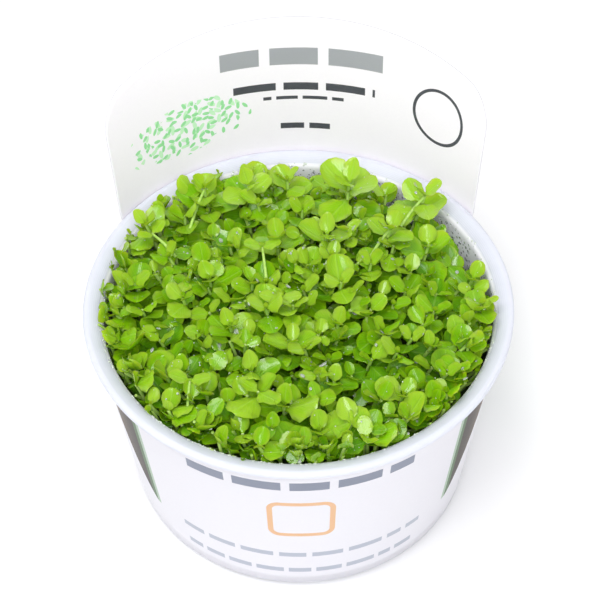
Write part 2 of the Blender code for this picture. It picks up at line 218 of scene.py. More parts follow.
# Lower shoots between the solid ones: they fill the carpet down to the tangle. LOW_SNUG is the share of the
# solid shoots' clearance that they keep, and LOW_GROUPS the number of pieces they make.
LOW_SEED = 61
LOW_TRIALS = 40
LOW_STEM_TRIES = 8
LOW_FIELD_RADIUS = 0.0328
LOW_SINK = (-0.0004, 0.0036)
LOW_LEAN = (0.02, 0.16)
LOW_SCALE = (0.78, 1.18)
LOW_SNUG = 0.40
LOW_GROUPS = 4
# Rings of them along the wall: their number, how far in from it, their tips' height over the rim, and how far
# their top pair is turned from the straight way out
EDGE_RINGS = (
    (56, (0.0012, 0.0024), (0.0000, 0.0012), 0.0),
    (64, (0.0022, 0.0038), (-0.0012, 0.0010), 0.0),
    (76, (0.0004, 0.0014), (-0.0020, 0.0000), math.pi / 2),
    (64, (0.0003, 0.0013), (-0.0038, -0.0022), math.pi / 2),
)
# How a shoot holds its leaves: the tries for each, how freely it varies, the pairs' tilts, and how much
# further a leaf may rise to find room, in degrees
SOLID_HABIT = (LEAF_TRIES, 1.0, PAIR_TILTS, 0.0)
LOW_HABIT = (16, 1.9, (32, 16, 4), 16.0)
EDGE_HABIT = (16, 1.6, (38, 20, 8), 36.0)
# How far a shoot by the wall is shifted round, as a share of the gap to the next, and turned, in radians
EDGE_SHIFT = 0.4
EDGE_TURN = 0.5
# How far out the lower leaves reach over the flange's step
FINE_REACH = 0.0350
# The side where the wall shows behind the shoots: its middle turn, half width, and how far they stand back
BARE_SIDE = (math.radians(52), math.radians(34), 0.0046)

# Side shoots whose bare stems show between the leaves, in millimetres: tip x, y and height over the rim, foot
# x, y and height, and the length of the leaf pair at the tip, if it has one of its own
SIDE_SHOOTS = (
    (23.2, 20.3, 4.5, 18.9, 16.2, 1.2, 0.0),
    (16.6, 13.4, 3.2, 12.6, 7.6, 1.6, 0.0),
    (-26.3, 14.1, 2.4, -21.9, 9.8, 0.8, 3.4),
    (-17.1, 23.9, 3.3, -19.6, 16.6, 0.9, 0.0),
    (-6.3, 9.2, 3.6, -5.6, 3.4, 1.2, 3.6),
    (-18.4, -19.8, 2.2, -18.9, -26.0, -1.0, 3.8),
)
SIDE_GIRTHS = (0.00031, 0.00023)
SIDE_BOW = 0.0005
SIDE_LEAF_TILT = math.radians(26)

# A leaf of unit length: its stalk, then the blade's stations and half width there as a share of the widest
STALK_SHARE = 0.14
STALK_HALF_WIDTH = 0.045
LEAF_OUTLINE = ((0.02, 0.33), (0.12, 0.70), (0.34, 0.97), (0.62, 0.98), (0.85, 0.75), (0.97, 0.38))
LEAF_ACROSS = (-1.0, -0.55, 0.0, 0.55, 1.0)
# The blade's thickness and the share of it that is left at the tip, where the curl starts along the
# blade, and how close the edge's waves are
BLADE_THICKNESS = 0.050
TIP_SHARE = 0.35
CURL_START = 0.35
EDGE_WAVES = 9
# Kinds of leaf: how far the sides rise, the middle arches, the tip curls, the halves fold and the edge waves,
# in leaf lengths, and how far the blade narrows to its tip
LEAF_KINDS = (
    (0.120, 0.030, -0.040, 0.00, 0.045, 0.00),
    (0.030, 0.060, -0.160, 0.00, 0.060, 0.28),
    (-0.120, 0.050, -0.110, 0.00, 0.050, 0.10),
    (0.020, 0.020, 0.040, 0.15, 0.050, 0.35),
    (0.230, 0.000, 0.100, 0.00, 0.035, 0.00),
    (0.150, 0.000, 0.060, 0.02, 0.000, 0.15),
)
BUD_KIND = 5
BUD_LENGTH = (0.0009, 0.0016)
BUD_TILTS = (76, 62)
# The share of shoots whose tip has no bud
BARE_TIPS = 0.55

# A fine leaf's length and width as shares of the solid one's that it lies on
FINE_LENGTH = (0.84, 0.98)
FINE_WIDTH = (0.96, 1.12)
STEM_POINTS = 7
STEM_SIDES = 7
STEM_TAPER = (0.00040, 0.00027)
STEM_BOW = (0.00030, 0.00080)
# Lower leaves nearer the cup than this bend along it
PRESS_DEPTH = 0.0004

# A leaf's tone: its middle, what a millimetre of height and a pair further up add, and its scatter. The height
# term is painted shade: lower leaves are painted darker.
TONE = (0.43, 0.13, 0.05, 0.22)
# Painted light: the leaves are painted paler the further they are from this place
LEAST_PAINTED_LIGHT = (0.0, -0.008, CUP_HEIGHT)
# What every point of a skeleton holds: its name, kind, key and number. The growth tree reads all but the
# tone, which the finishes read.
POINT_DATA = (
    ("is_shape", "BOOLEAN", "value", bool),
    ("shape_turn", "FLOAT_VECTOR", "vector", np.float32),
    ("shape_size", "FLOAT_VECTOR", "vector", np.float32),
    ("shape_kind", "INT", "value", np.int32),
    ("girth", "FLOAT", "value", np.float32),
    ("tone", "FLOAT", "value", np.float32),
)

# The mound of the tangle, and the roots and creeping stems, which both wander in steps of one length
MAT_SEED = 83
MAT_RINGS = 16
MAT_SPOKES = 64
MAT_ROUGH = 0.00025
WALK_STEP = 0.0011
THIN_SIDES = 5
ROOT_SEED = 29
ROOT_FIELD = 0.0285
ROOT_START = GEL_TOP + 0.0016
ROOT_STEPS = 10
ROOT_TURN = 0.5
ROOT_DROP = (0.0003, 0.0013)
ROOT_FLOOR = FLOOR_THICKNESS + 0.0010
ROOT_REACH = 0.0296
ROOT_GIRTHS = (0.00017, 0.00008)
CREEPER_SEED = 17
CREEPER_FIELD = 0.0325
CREEPER_POINTS = 7
CREEPER_LIFT = (0.0001, 0.0014)
CREEPER_WAVE = 0.0005
CREEPER_PACE = 1.3
CREEPER_PHASE = 9000
CREEPER_TURN = 0.35
CREEPER_REACH = 0.0335
CREEPER_GIRTH = 0.00030
CREEPER_TILTS = (8, 50)
CREEPER_LEAVES = (0.0020, 0.0034)

# Water: a drop of unit radius, the wall's wet strip, and the sizes of beads, drops and dew. A wet side is its
# middle turn, its width and the share of wetness away from it.
WATER_IOR = 1.333
DROP_SIDES = 8
DROP_RINGS = ((1.0, 0.0), (0.84, 0.17), (0.48, 0.31))
DROP_TOP = 0.36
ROUND_STEPS = 96
WET_HEIGHTS = (0.0330, 0.0360, 0.0385, 0.0405, 0.0416)
WET_SIDE = (math.radians(60), math.radians(90), 0.3)
BEAD_DENSITY = 1600000.0
BEAD_SIZES = (0.00008, 0.00032)
RIM_BEAD_SEED = 12
RIM_BEAD_SIDE = (math.radians(235), math.radians(75), 0.15)
RIM_BEAD_SPAN = (0.10, 0.95)
RIM_BEAD_SIZES = (0.00010, 0.00026)
DROP_SEED = 101
DROP_DEPTH = 0.0025
DROP_LIFT = 0.00010
DROP_ALONG = 0.8
DROP_ACROSS = 0.6
DROP_FLATNESS = (0.7, 1.0)
DROP_SIZES = (0.00016, 0.00038)
DEW_LIFT = 0.00014
DEW_REACH = (0.3, 0.95)
DEW_SIZES = (0.00007, 0.00013)

# Stage: the floor's half width, what the camera looks at, and the lamps' names, places and widths
FLOOR_HALF = 1.6
AIM = (0.0003, 0.0, CUP_HEIGHT - 0.00023)
LAMPS = (("key", (-0.12, -0.10, 0.60), 0.32), ("fill", (0.03, -0.46, 0.55), 0.30))


def linear(code):
    """A linear RGBA colour from an sRGB hex value."""
    channels = [int(code[k:k + 2], 16) / 255 for k in (1, 3, 5)]
    return tuple(c / 12.92 if c <= 0.04045 else ((c + 0.055) / 1.055) ** 2.4 for c in channels) + (1.0,)


def wire(node, inputs):
    """Set a node's inputs. One given as a node or a socket is linked, and any other is its value."""
    for key, value in inputs.items():
        if isinstance(value, bpy.types.Node):
            value = value.outputs[0]
        if isinstance(value, bpy.types.NodeSocket):
            node.id_data.links.new(value, node.inputs[key])
        else:
            node.inputs[key].default_value = value


def add_node(tree, kind, inputs=None, **settings):
    """A node with its settings and its inputs."""
    node = tree.nodes.new(kind)
    for name, value in settings.items():
        setattr(node, name, value)
    wire(node, inputs or {})
    return node


def new_tree(name, kind, inputs, outputs):
    """A node group with its named sockets, what adds nodes to it, its inputs and its last node."""
    tree = bpy.data.node_groups.new(name, kind)
    for way, sockets in (("INPUT", inputs), ("OUTPUT", outputs)):
        for label, socket in sockets.items():
            tree.interface.new_socket(name=label, in_out=way, socket_type="NodeSocket" + socket)
    add = functools.partial(add_node, tree)
    return tree, add, add("NodeGroupInput").outputs, add("NodeGroupOutput")


def new_material(name):
    """An empty material and its shader."""
    mat = bpy.data.materials.new(name)
    mat.use_nodes = True
    return mat, mat.node_tree.nodes["Principled BSDF"]


def noisy_material(name, grain, detail=2.0):
    """A material with what adds nodes to it, its shader, the place on the piece and a noise of that grain."""
    mat, shader = new_material(name)
    add = functools.partial(add_node, mat.node_tree)
    place = add("ShaderNodeTexCoord").outputs["Object"]
    noise = add("ShaderNodeTexNoise", {"Vector": place, "Scale": 1 / grain, "Detail": detail})
    return mat, add, shader, place, noise.outputs["Fac"]


def add_object(name, data):
    """A new object in the scene."""
    obj = bpy.data.objects.new(name, data)
    bpy.context.scene.collection.objects.link(obj)
    return obj


def mesh_from(bm, name):
    """A mesh with what was built in a bmesh, which is then freed."""
    mesh = bpy.data.meshes.new(name)
    bm.to_mesh(mesh)
    bm.free()
    return mesh


def settle(obj):
    """Turn an object with live modifiers into a plain mesh."""
    depsgraph = bpy.context.evaluated_depsgraph_get()
    mesh = bpy.data.meshes.new_from_object(obj.evaluated_get(depsgraph), preserve_all_data_layers=True,
                                           depsgraph=depsgraph)
    obj.modifiers.clear()
    obj.data = mesh
    mesh.name = obj.name
    return obj


def hand_over(obj, slot_name, *nodes):
    """Make a finished piece ride on the cup's body, in place of the CAD nodes that it stands for."""
    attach(obj, "root")
    if nodes:
        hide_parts(*nodes)


# The card's shape

def wall_outer(z):
    """Outer radius of the cup's cone at a height."""
    return BASE_RADIUS + (NECK_RADIUS - BASE_RADIUS) * z / SLEEVE_TOP


def wall_inner(z):
    """Inner radius of the cup's cone at a height."""
    return wall_outer(z) - CUP_WALL


def step_line():
    """The flange's dished face as (radius, height), from the top of the wall up to the outer flat."""
    ledge = CUP_HEIGHT - FLANGE_STEP_DROP
    wall = wall_inner(SLEEVE_TOP) - CORNER * 2 / 3
    dish = CUP_HEIGHT - DISH_DROP
    return [(wall, ledge - CORNER / 2), (wall + CORNER / 4, ledge + CORNER / 4),
            (DISH_RADIUS - CORNER / 4, dish - CORNER / 4), (DISH_RADIUS, dish),
            (RIM_RADIUS - 2 * CORNER, FLAT_HEIGHT)]


def cup_room(z):
    """Radius of the cup's inner side at a height, up to the flange's flat."""
    line = [(wall_inner(0.0), 0.0), (wall_inner(WALL_BEND), WALL_BEND), *step_line(), (1.0, CUP_HEIGHT)]
    return np.interp(z, [height for _, height in line], [radius for radius, _ in line])


def smooth(t):
    """A share from 0 to 1 that starts and ends level."""
    t = min(1.0, max(0.0, t))
    return t * t * (3.0 - 2.0 * t)


def polar(reach, turn):
    """The level point at a distance and a turn from the cup's axis."""
    return reach * math.cos(turn), reach * math.sin(turn)


def between(turn, middle):
    """The angle between two turns, the shorter way round."""
    return abs((turn - middle + math.pi) % math.tau - math.pi)


def random_spot(rng, radius):
    """A level point drawn evenly from a disc."""
    reach = radius * math.sqrt(rng.random())
    return polar(reach, rng.uniform(0.0, math.tau))


def sleeve_radius(angle, z):
    """Outer radius of the card below the rim; angle is measured from the middle of the back."""
    snug = wall_outer(z) + GAP + CARD
    edge = TAB_HALF_WIDTH / TAB_RADIUS
    spread = 1.0 - smooth((abs(angle) - edge) / BULGE_FADE)
    return snug + (TAB_RADIUS - wall_outer(CUP_HEIGHT) - GAP - CARD) * spread * z / CUP_HEIGHT


def tab_top(s):
    """Height of the tab's edge above the rim at a distance s along the card from its middle."""
    crest = TAB_TOP_HEIGHT - TAB_CREST_RADIUS + math.sqrt(TAB_CREST_RADIUS**2 - s * s)
    inset = TAB_HALF_WIDTH - TAB_SHOULDER
    if abs(s) <= inset:
        return crest
    turn = math.sqrt(max(0.0, 1.0 - ((abs(s) - inset) / TAB_SHOULDER) ** 2))
    return TAB_SIDE_HEIGHT + (crest - TAB_SIDE_HEIGHT) * turn


def tab_point(s, h):
    """A point of the tab's outer face, at a distance s along the card and a height h above the rim."""
    share = h / RIM_RADIUS
    radius = TAB_RADIUS * (1.0 + TAB_FLATTEN[0] * share + TAB_FLATTEN[1] * share * share)
    back = TAB_RADIUS + TAB_LEAN * h - radius + radius * math.cos(s / radius)
    return Vector((radius * math.sin(s / radius), back, CUP_HEIGHT + h))


# How the shoots grow

def mat_height(x, y):
    """Height of the lumpy tangle of stems that the shoots stand on."""
    lumps = np.sin(x * MAT_WAVES[0] + 0.7) * np.cos(y * MAT_WAVES[1] - 0.4)
    sag = MAT_SHOULDER * (np.hypot(x, y) / wall_inner(MAT_TOP)) ** 4
    return MAT_TOP + MAT_LUMP * lumps - sag


def leaf_axes(azimuth, tilt, roll):
    """Rows: along the leaf, across it, and out of its upper face."""
    along = np.array((math.cos(tilt) * math.cos(azimuth), math.cos(tilt) * math.sin(azimuth), math.sin(tilt)))
    level = np.array((-math.sin(azimuth), math.cos(azimuth), 0.0))
    upright = np.cross(along, level)
    across = math.cos(roll) * level + math.sin(roll) * upright
    return np.array((along, across, np.cross(along, across)))


def disc_samples():
    """Points of a unit disc, with their share of its radius: the middle, a ring of 8 and a rim of 20."""
    points = [(0.0, 0.0, 0.0)]
    for share, count in ((0.55, 8), (1.0, 20)):
        points += [(*polar(share, math.tau * k / count), share) for k in range(count)]
    return np.array(points)


DISC = disc_samples()


class Leaf:
    """A leaf blade as an oval disc on a short stalk that starts on its stem's axis."""

    def __init__(self, root, axes, length, pair):
        self.root = root
        self.pair = pair
        self.axes = axes
        self.length = length
        self.half = np.array((length / 2, length * LEAF_ASPECT / 2))
        self.centre = root + axes[0] * (PETIOLE + length / 2)
        self.samples = self.centre + (DISC[:, :2] * self.half) @ axes[:2]


class Thicket:
    """The leaves and stems placed so far, with tests that keep new ones clear of them."""

    def __init__(self):
        self.leaves = []
        self.centres = np.zeros((0, 3))
        self.reaches = np.zeros(0)
        self.stems = []
        self.snug = 1.0
        self.over_ledge = False

    def add_leaf(self, leaf):
        """Take in a leaf that later ones keep clear of."""
        self.leaves.append(leaf)
        self.centres = np.vstack((self.centres, leaf.centre))
        self.reaches = np.append(self.reaches, leaf.half[0])

    def inside(self, points):
        """True if points keep clear of the cup's wall, its flange, the tab and the mat below."""
        reach = np.hypot(points[:, 0], points[:, 1])
        low = points[:, 2] < CUP_HEIGHT + 2 * GAP
        wall = wall_inner(np.minimum(points[:, 2], CUP_HEIGHT)) - 2 * GAP * self.snug
        floor = mat_height(points[:, 0], points[:, 1]) + 2 * GAP
        over = np.where(points[:, 1] > 0, TAB_RADIUS - CARD - 3 * GAP, RIM_RADIUS)
        if self.over_ledge:
            wall = np.where(points[:, 2] > CUP_HEIGHT - FLANGE_STEP_DROP + GAP, FINE_REACH, wall)
            over = FINE_REACH
        return bool((np.where(low, reach < wall, reach < over) & (points[:, 2] > floor)).all())

    def touches(self, leaf, other):
        """True if either leaf's points come nearer the other's blade than the clearance."""
        for first, second in ((leaf, other), (other, leaf)):
            local = (first.samples - second.centre) @ second.axes.T
            share = np.hypot(*(local[:, :2] / (second.half + CLEARANCE * self.snug)).T)
            room = CLEARANCE + LEAF_HALF_THICKNESS * (2.4 - DISC[:, 2] - np.minimum(share, 1.0))
            if ((share < 1.0) & (np.abs(local[:, 2]) < room * self.snug)).any():
                return True
        return False

    def leaf_fits(self, leaf, own_stem):
        """True if a leaf is clear of the cup, the other leaves and every stem but its own."""
        if not self.inside(leaf.samples):
            return False
        near = leaf.half[0] + self.reaches + 2 * CLEARANCE
        for k in np.flatnonzero(np.linalg.norm(self.centres - leaf.centre, axis=1) < near):
            if self.touches(leaf, self.leaves[k]):
                return False
        reach = leaf.half[0] + 2 * CLEARANCE + STEM_RADIUS
        for stem in self.stems:
            if stem is own_stem or np.hypot(*(stem[:, :2] - leaf.centre[:2]).T).min() > reach:
                continue
            if self.stem_hits(stem, leaf):
                return False
        return True

    def stem_hits(self, stem, leaf):
        """True if a stem's points come nearer a leaf's blade than the clearance."""
        local = (stem - leaf.centre) @ leaf.axes.T
        share = np.hypot(*(local[:, :2] / (leaf.half + CLEARANCE + STEM_RADIUS)).T)
        return bool(((share < 1.0) & (np.abs(local[:, 2]) < (STEM_RADIUS + 2 * CLEARANCE) * self.snug)).any())

    def stem_fits(self, stem):
        """True if a stem is clear of the leaves and the other stems."""
        low, high = stem.min(axis=0), stem.max(axis=0)
        reach = (self.reaches + 2 * CLEARANCE + STEM_RADIUS)[:, None]
        near = ((self.centres > low - reach) & (self.centres < high + reach)).all(axis=1)
        if any(self.stem_hits(stem, self.leaves[k]) for k in np.flatnonzero(near)):
            return False
        for other in self.stems:
            apart = np.linalg.norm(stem[:, None] - other[None], axis=2).min()
            if apart < (2 * STEM_RADIUS + 2 * CLEARANCE) * self.snug:
                return False
        return True


def stem_points(foot, tip):
    """Points along a straight stem, near enough to each other for the clearance tests."""
    count = max(3, int(np.linalg.norm(tip - foot) / STEM_RADIUS / 1.5))
    return foot + (tip - foot) * np.linspace(0.0, 1.0, count)[:, None]


def canopy_height(x, y, rng):
    """Height of a shoot's tip: a low dome over the rim that falls away at the wall."""
    fall = (math.hypot(x, y) / FIELD_RADIUS) ** 2
    return CUP_HEIGHT + DOME_RISE - DOME_FALL * fall + rng.uniform(-DOME_SCATTER, DOME_SCATTER)


def foot_at(x, y):
    """A solid shoot's foot, a little over the tangle."""
    return np.array((x, y, mat_height(x, y) + FOOT_GAP))


def shoot_plans(rng):
    """Foot, tip, azimuth and leaf scale of every shoot: the named ones, then others spread between them."""
    plans = []
    for foot_x, foot_y, tip_x, tip_y, rise, azimuth, scale in NAMED_SHOOTS:
        tip = np.array((tip_x * MM, tip_y * MM, CUP_HEIGHT + rise * MM))
        plans.append((foot_at(foot_x * MM, foot_y * MM), tip, math.radians(azimuth), scale))
    while len(plans) < SHOOT_COUNT:
        trials = []
        for _ in range(SPREAD_TRIALS):
            x, y = random_spot(rng, FIELD_RADIUS)
            room = min(math.hypot(x - plan[1][0], y - plan[1][1]) for plan in plans)
            trials.append((room, x, y))
        _, x, y = max(trials)
        lean = rng.uniform(*LEAN_RANGE)
        tip = np.array((x, y, canopy_height(x, y, rng)))
        foot = foot_at(x * (1 - lean), y * (1 - lean))
        plans.append((foot, tip, rng.uniform(0.0, math.tau), rng.uniform(*SCALE_RANGE)))
    return plans


def grow_pairs(thicket, stem, foot, tip, azimuth, scale, pairs, rng, habit=SOLID_HABIT):
    """Leaf pairs down a stem, each leaf tried at a few turns, tilts and sizes until it is clear."""
    tries, loose, tilts, lift = habit
    leaves = []
    height = np.linalg.norm(foot - tip)
    down = (foot - tip) / height
    for pair in range(pairs):
        drop = PAIR_DROPS[pair]
        if drop > height - NECK:
            break
        for side in (0, 1):
            for attempt in range(tries):
                ease = attempt / tries
                turn = azimuth + math.pi / 2 * pair + math.pi * side
                turn += rng.uniform(-TURN_SCATTER, TURN_SCATTER) * (1 + TRY_TURN * ease) * loose
                scatter = rng.uniform(-TILT_SCATTER, TILT_SCATTER) * (1 + TRY_TILT * ease) * loose
                raised = tilts[pair] + scatter + lift * ease
                roll = rng.uniform(-ROLL_SCATTER, ROLL_SCATTER) * loose
                size = scale * PAIR_LENGTHS[pair] * (1 + rng.uniform(-SIZE_SCATTER, SIZE_SCATTER) * loose)
                size *= 1 - TRY_SHRINK * ease
                axes = leaf_axes(turn, math.radians(raised), math.radians(roll))
                leaf = Leaf(tip + down * drop, axes, size, pair)
                if thicket.leaf_fits(leaf, stem):
                    leaves.append(leaf)
                    thicket.add_leaf(leaf)
                    break
    return leaves


@functools.lru_cache(maxsize=None)
def grow_shoots():
    """The solid shoots again, draw for draw, so that every fine leaf lies on its solid one."""
    rng = random.Random(SEED)
    thicket = Thicket()
    shoots = []
    for foot, tip, azimuth, scale in shoot_plans(rng):
        stem = stem_points(foot, tip)
        for _ in range(STEM_TRIES):
            if thicket.stem_fits(stem):
                break
            shift = np.array((rng.uniform(-1, 1), rng.uniform(-1, 1), 0.0)) * STEM_SHIFT
            tip_x, tip_y = (tip + shift)[:2]
            if math.hypot(tip_x, tip_y) > FIELD_RADIUS:
                continue
            stem = stem_points(foot_at(*(foot + shift)[:2]), tip + shift)
        else:
            continue
        foot, tip = stem[0], stem[-1]
        thicket.stems.append(stem)
        pairs = len(PAIR_DROPS) - (len(shoots) >= TALL_SHOOTS)
        leaves = grow_pairs(thicket, stem, foot, tip, azimuth, scale, pairs, rng)
        shoots.append((foot, tip, azimuth, leaves))
    return thicket, shoots


def bare_step(turn):
    """How far the lower shoots stand back at the bare side, where the wall shows behind them."""
    middle, width, step = BARE_SIDE
    return step * (1.0 - smooth((between(turn, middle) - width) / width))


def low_tips(rng, tips, count):
    """Where the lower shoots' tips are, with their azimuth and habit: rings along the wall first, then each
    in the widest gap of a few trials."""
    for number, inset, lift, facing in EDGE_RINGS:
        for k in range(number):
            turn = math.tau * (k + rng.uniform(-EDGE_SHIFT, EDGE_SHIFT)) / number
            reach = cup_room(SLEEVE_TOP) - rng.uniform(*inset) - bare_step(turn)
            rise = rng.uniform(*lift) - bare_step(turn) / 2
            azimuth = turn + facing + rng.uniform(-EDGE_TURN, EDGE_TURN)
            yield *polar(reach, turn), CUP_HEIGHT + rise, azimuth, EDGE_HABIT
    for _ in range(count):
        trials = []
        for _ in range(LOW_TRIALS):
            turn = rng.uniform(0.0, math.tau)
            x, y = polar((LOW_FIELD_RADIUS - bare_step(turn)) * math.sqrt(rng.random()), turn)
            trials.append((float(np.hypot(*(np.array(tips) - (x, y)).T).min()), x, y))
        _, x, y = max(trials)
        height = canopy_height(x, y, rng) - rng.uniform(*LOW_SINK)
        yield x, y, height, rng.uniform(0.0, math.tau), LOW_HABIT


@functools.lru_cache(maxsize=None)
def grow_low_shoots(count):
    """Smaller, lower shoots in the room that is left between the others."""
    rng = random.Random(LOW_SEED)
    thicket, shoots = grow_shoots()
    thicket.snug = LOW_SNUG
    thicket.over_ledge = True
    tips = [tip[:2] for _, tip, _, _ in shoots]
    grown = []
    for x, y, z, azimuth, habit in low_tips(rng, tips, count):
        for _ in range(LOW_STEM_TRIES):
            lean = rng.uniform(*LOW_LEAN)
            foot_x, foot_y = x * (1 - lean), y * (1 - lean)
            foot = np.array((foot_x, foot_y, mat_height(foot_x, foot_y)))
            tip = np.array((x, y, z))
            stem = stem_points(foot, tip)
            if thicket.stem_fits(stem):
                break
            x += rng.uniform(-1, 1) * STEM_SHIFT / 2
            y += rng.uniform(-1, 1) * STEM_SHIFT / 2
        tips.append(tip[:2])
        thicket.stems.append(stem)
        leaves = grow_pairs(thicket, stem, foot, tip, azimuth, rng.uniform(*LOW_SCALE), len(PAIR_DROPS) - 1,
                            rng, habit)
        grown.append((foot, tip, 0.0, leaves))
    return grown


# Shapes that repeat

def level_ring(bm, radius, height, count):
    """New vertices in a level circle."""
    return [bm.verts.new((*polar(radius, math.tau * k / count), height)) for k in range(count)]


def close_shell(bm, rings, tip):
    """Smooth faces from a flat end, over rings of as many vertices each, to a tip."""
    size = len(rings[0])
    bm.faces.new(rings[0])
    for low, high in zip(rings, rings[1:]):
        for k in range(size):
            after = (k + 1) % size
            bm.faces.new((low[after], low[k], high[k], high[after]))
    for k in range(size):
        bm.faces.new((rings[-1][(k + 1) % size], rings[-1][k], tip))
    bmesh.ops.recalc_face_normals(bm, faces=bm.faces)
    for face in bm.faces:
        face.smooth = True


def leaf_shape(name, kind):
    """A leaf of unit length along X as one closed shell: a stalk, then a blade with thin edges."""
    side_rise, arch, curl, fold, wave, taper = kind
    widest = (1 - STALK_SHARE) * LEAF_ASPECT / 2
    rings = [(0.0, STALK_HALF_WIDTH, 0.0)]
    for t, width in LEAF_OUTLINE:
        rings.append((STALK_SHARE + (1 - STALK_SHARE) * t, widest * width * (1 - taper * t * t), t))
    bm = bmesh.new()
    uv = bm.loops.layers.uv.new("leaf_uv")
    place = {}

    def add_vert(x, y, z, along, across):
        vert = bm.verts.new((x, y, z))
        place[vert] = (along, across / 2 + 0.5)
        return vert

    def mid_height(t, across, half):
        waves = wave * across * math.sin(EDGE_WAVES * t + across)
        rise = half / widest * (side_rise * across * across + fold * abs(across) + waves)
        return rise - arch * math.sin(math.pi * t) + curl * max(0.0, t - CURL_START) ** 2 * 2

    loops = []
    for number, (x, half, t) in enumerate(rings):
        thick = BLADE_THICKNESS * (1.0 if number < 2 else TIP_SHARE + (1 - TIP_SHARE) * half / widest)
        ring = []
        for face, stations in ((1, LEAF_ACROSS), (-1, LEAF_ACROSS[-2:0:-1])):
            for across in stations:
                height = mid_height(t, across, half) + face * thick / 2 * (1 - across * across)
                ring.append(add_vert(x, half * across, height, t, across))
        loops.append(ring)
    tip = add_vert(1.0, 0.0, mid_height(1.0, 0.0, 0.0), 1.0, 0.0)
    close_shell(bm, loops, tip)
    for face in bm.faces:
        for loop in face.loops:
            loop[uv].uv = place[loop.vert]
    for k in (0, len(LEAF_ACROSS) - 1):
        line = [ring[k] for ring in loops[1:]] + [tip]
        for first, second in zip(line, line[1:]):
            bm.edges.get((first, second)).smooth = False
    return bpy.data.objects.new(name, mesh_from(bm, name))


def drop_shape(name):
    """A drop that clings to a surface: a low dome of unit radius on a flat base."""
    bm = bmesh.new()
    rings = [level_ring(bm, radius, height, DROP_SIDES) for radius, height in DROP_RINGS]
    close_shell(bm, rings, bm.verts.new((0.0, 0.0, DROP_TOP)))
    return bpy.data.objects.new(name, mesh_from(bm, name))


def grow_all(skeletons, shapes, finishes, sides=STEM_SIDES):
    """The pieces of some named skeletons, all grown with the same shapes, which are removed again."""
    group = bpy.data.collections.new("shapes")
    for shape in shapes:
        group.objects.link(shape)
    pieces = [skeleton.grow(name, group, *finishes, sides) for name, skeleton in skeletons.items()]
    for shape in shapes:
        bpy.data.objects.remove(shape)
    bpy.data.collections.remove(group)
    return pieces


@functools.lru_cache(maxsize=None)
def growth_tree():
    """Puts a shape at every loose point and a tapering tube along every line of a skeleton mesh."""
    inputs = {"Skeleton": "Geometry", "Shapes": "Collection", "Tube sides": "Int", "Shape finish": "Material",
              "Tube finish": "Material"}
    tree, add, given, result = new_tree("Shapes at points, tubes along lines", "GeometryNodeTree", inputs,
                                        {"Mesh": "Geometry"})
    read = {name: add("GeometryNodeInputNamedAttribute", {"Name": name}, data_type=kind)
            for name, kind, _, _ in POINT_DATA[:-1]}
    parted = add("GeometryNodeSeparateGeometry",
                 {"Geometry": given["Skeleton"], "Selection": read["is_shape"]})
    shapes = add("GeometryNodeCollectionInfo",
                 {"Collection": given["Shapes"], "Separate Children": True, "Reset Children": True})
    turn = add("FunctionNodeEulerToRotation", {"Euler": read["shape_turn"]})
    placed = add("GeometryNodeInstanceOnPoints",
                 {"Points": parted.outputs["Selection"], "Instance": shapes, "Pick Instance": True,
                  "Instance Index": read["shape_kind"], "Rotation": turn, "Scale": read["shape_size"]})
    shapes = add("GeometryNodeRealizeInstances", {"Geometry": placed})
    lines = add("GeometryNodeMeshToCurve", {"Mesh": parted.outputs["Inverted"]})
    circle = add("GeometryNodeCurvePrimitiveCircle", {"Resolution": given["Tube sides"], "Radius": 1.0})
    tubes = add("GeometryNodeCurveToMesh",
                {"Curve": lines, "Profile Curve": circle, "Scale": read["girth"], "Fill Caps": True})
    tubes = add("GeometryNodeSetShadeSmooth", {"Geometry": tubes})
    joined = add("GeometryNodeJoinGeometry")
    for mesh, finish in ((shapes, "Shape finish"), (tubes, "Tube finish")):
        finished = add("GeometryNodeSetMaterial", {"Geometry": mesh, "Material": given[finish]})
        wire(joined, {"Geometry": finished})
    wire(result, {"Mesh": joined})
    return tree


def set_inputs(modifier, **values):
    """Set a geometry tree's inputs by their sockets' identifiers."""
    for item in modifier.node_group.interface.items_tree:
        if item.in_out == "INPUT" and item.name in values:
            modifier[item.identifier] = values[item.name]


def press_in(obj):
    """Leaves that reach the cup bend to lie against its wall and the flange's step."""
    co = np.zeros(len(obj.data.vertices) * 3)
    obj.data.vertices.foreach_get("co", co)
    co = co.reshape(-1, 3)
    room = cup_room(co[:, 2])
    reach = np.hypot(co[:, 0], co[:, 1])
    slack = reach - room + PRESS_DEPTH
    pressed = room - PRESS_DEPTH * np.exp(-np.maximum(slack, 0.0) / PRESS_DEPTH)
    pressed = np.where(slack > 0, pressed, reach)
    co[:, :2] *= (pressed / reach)[:, None]
    obj.data.vertices.foreach_set("co", co.ravel())
    return obj


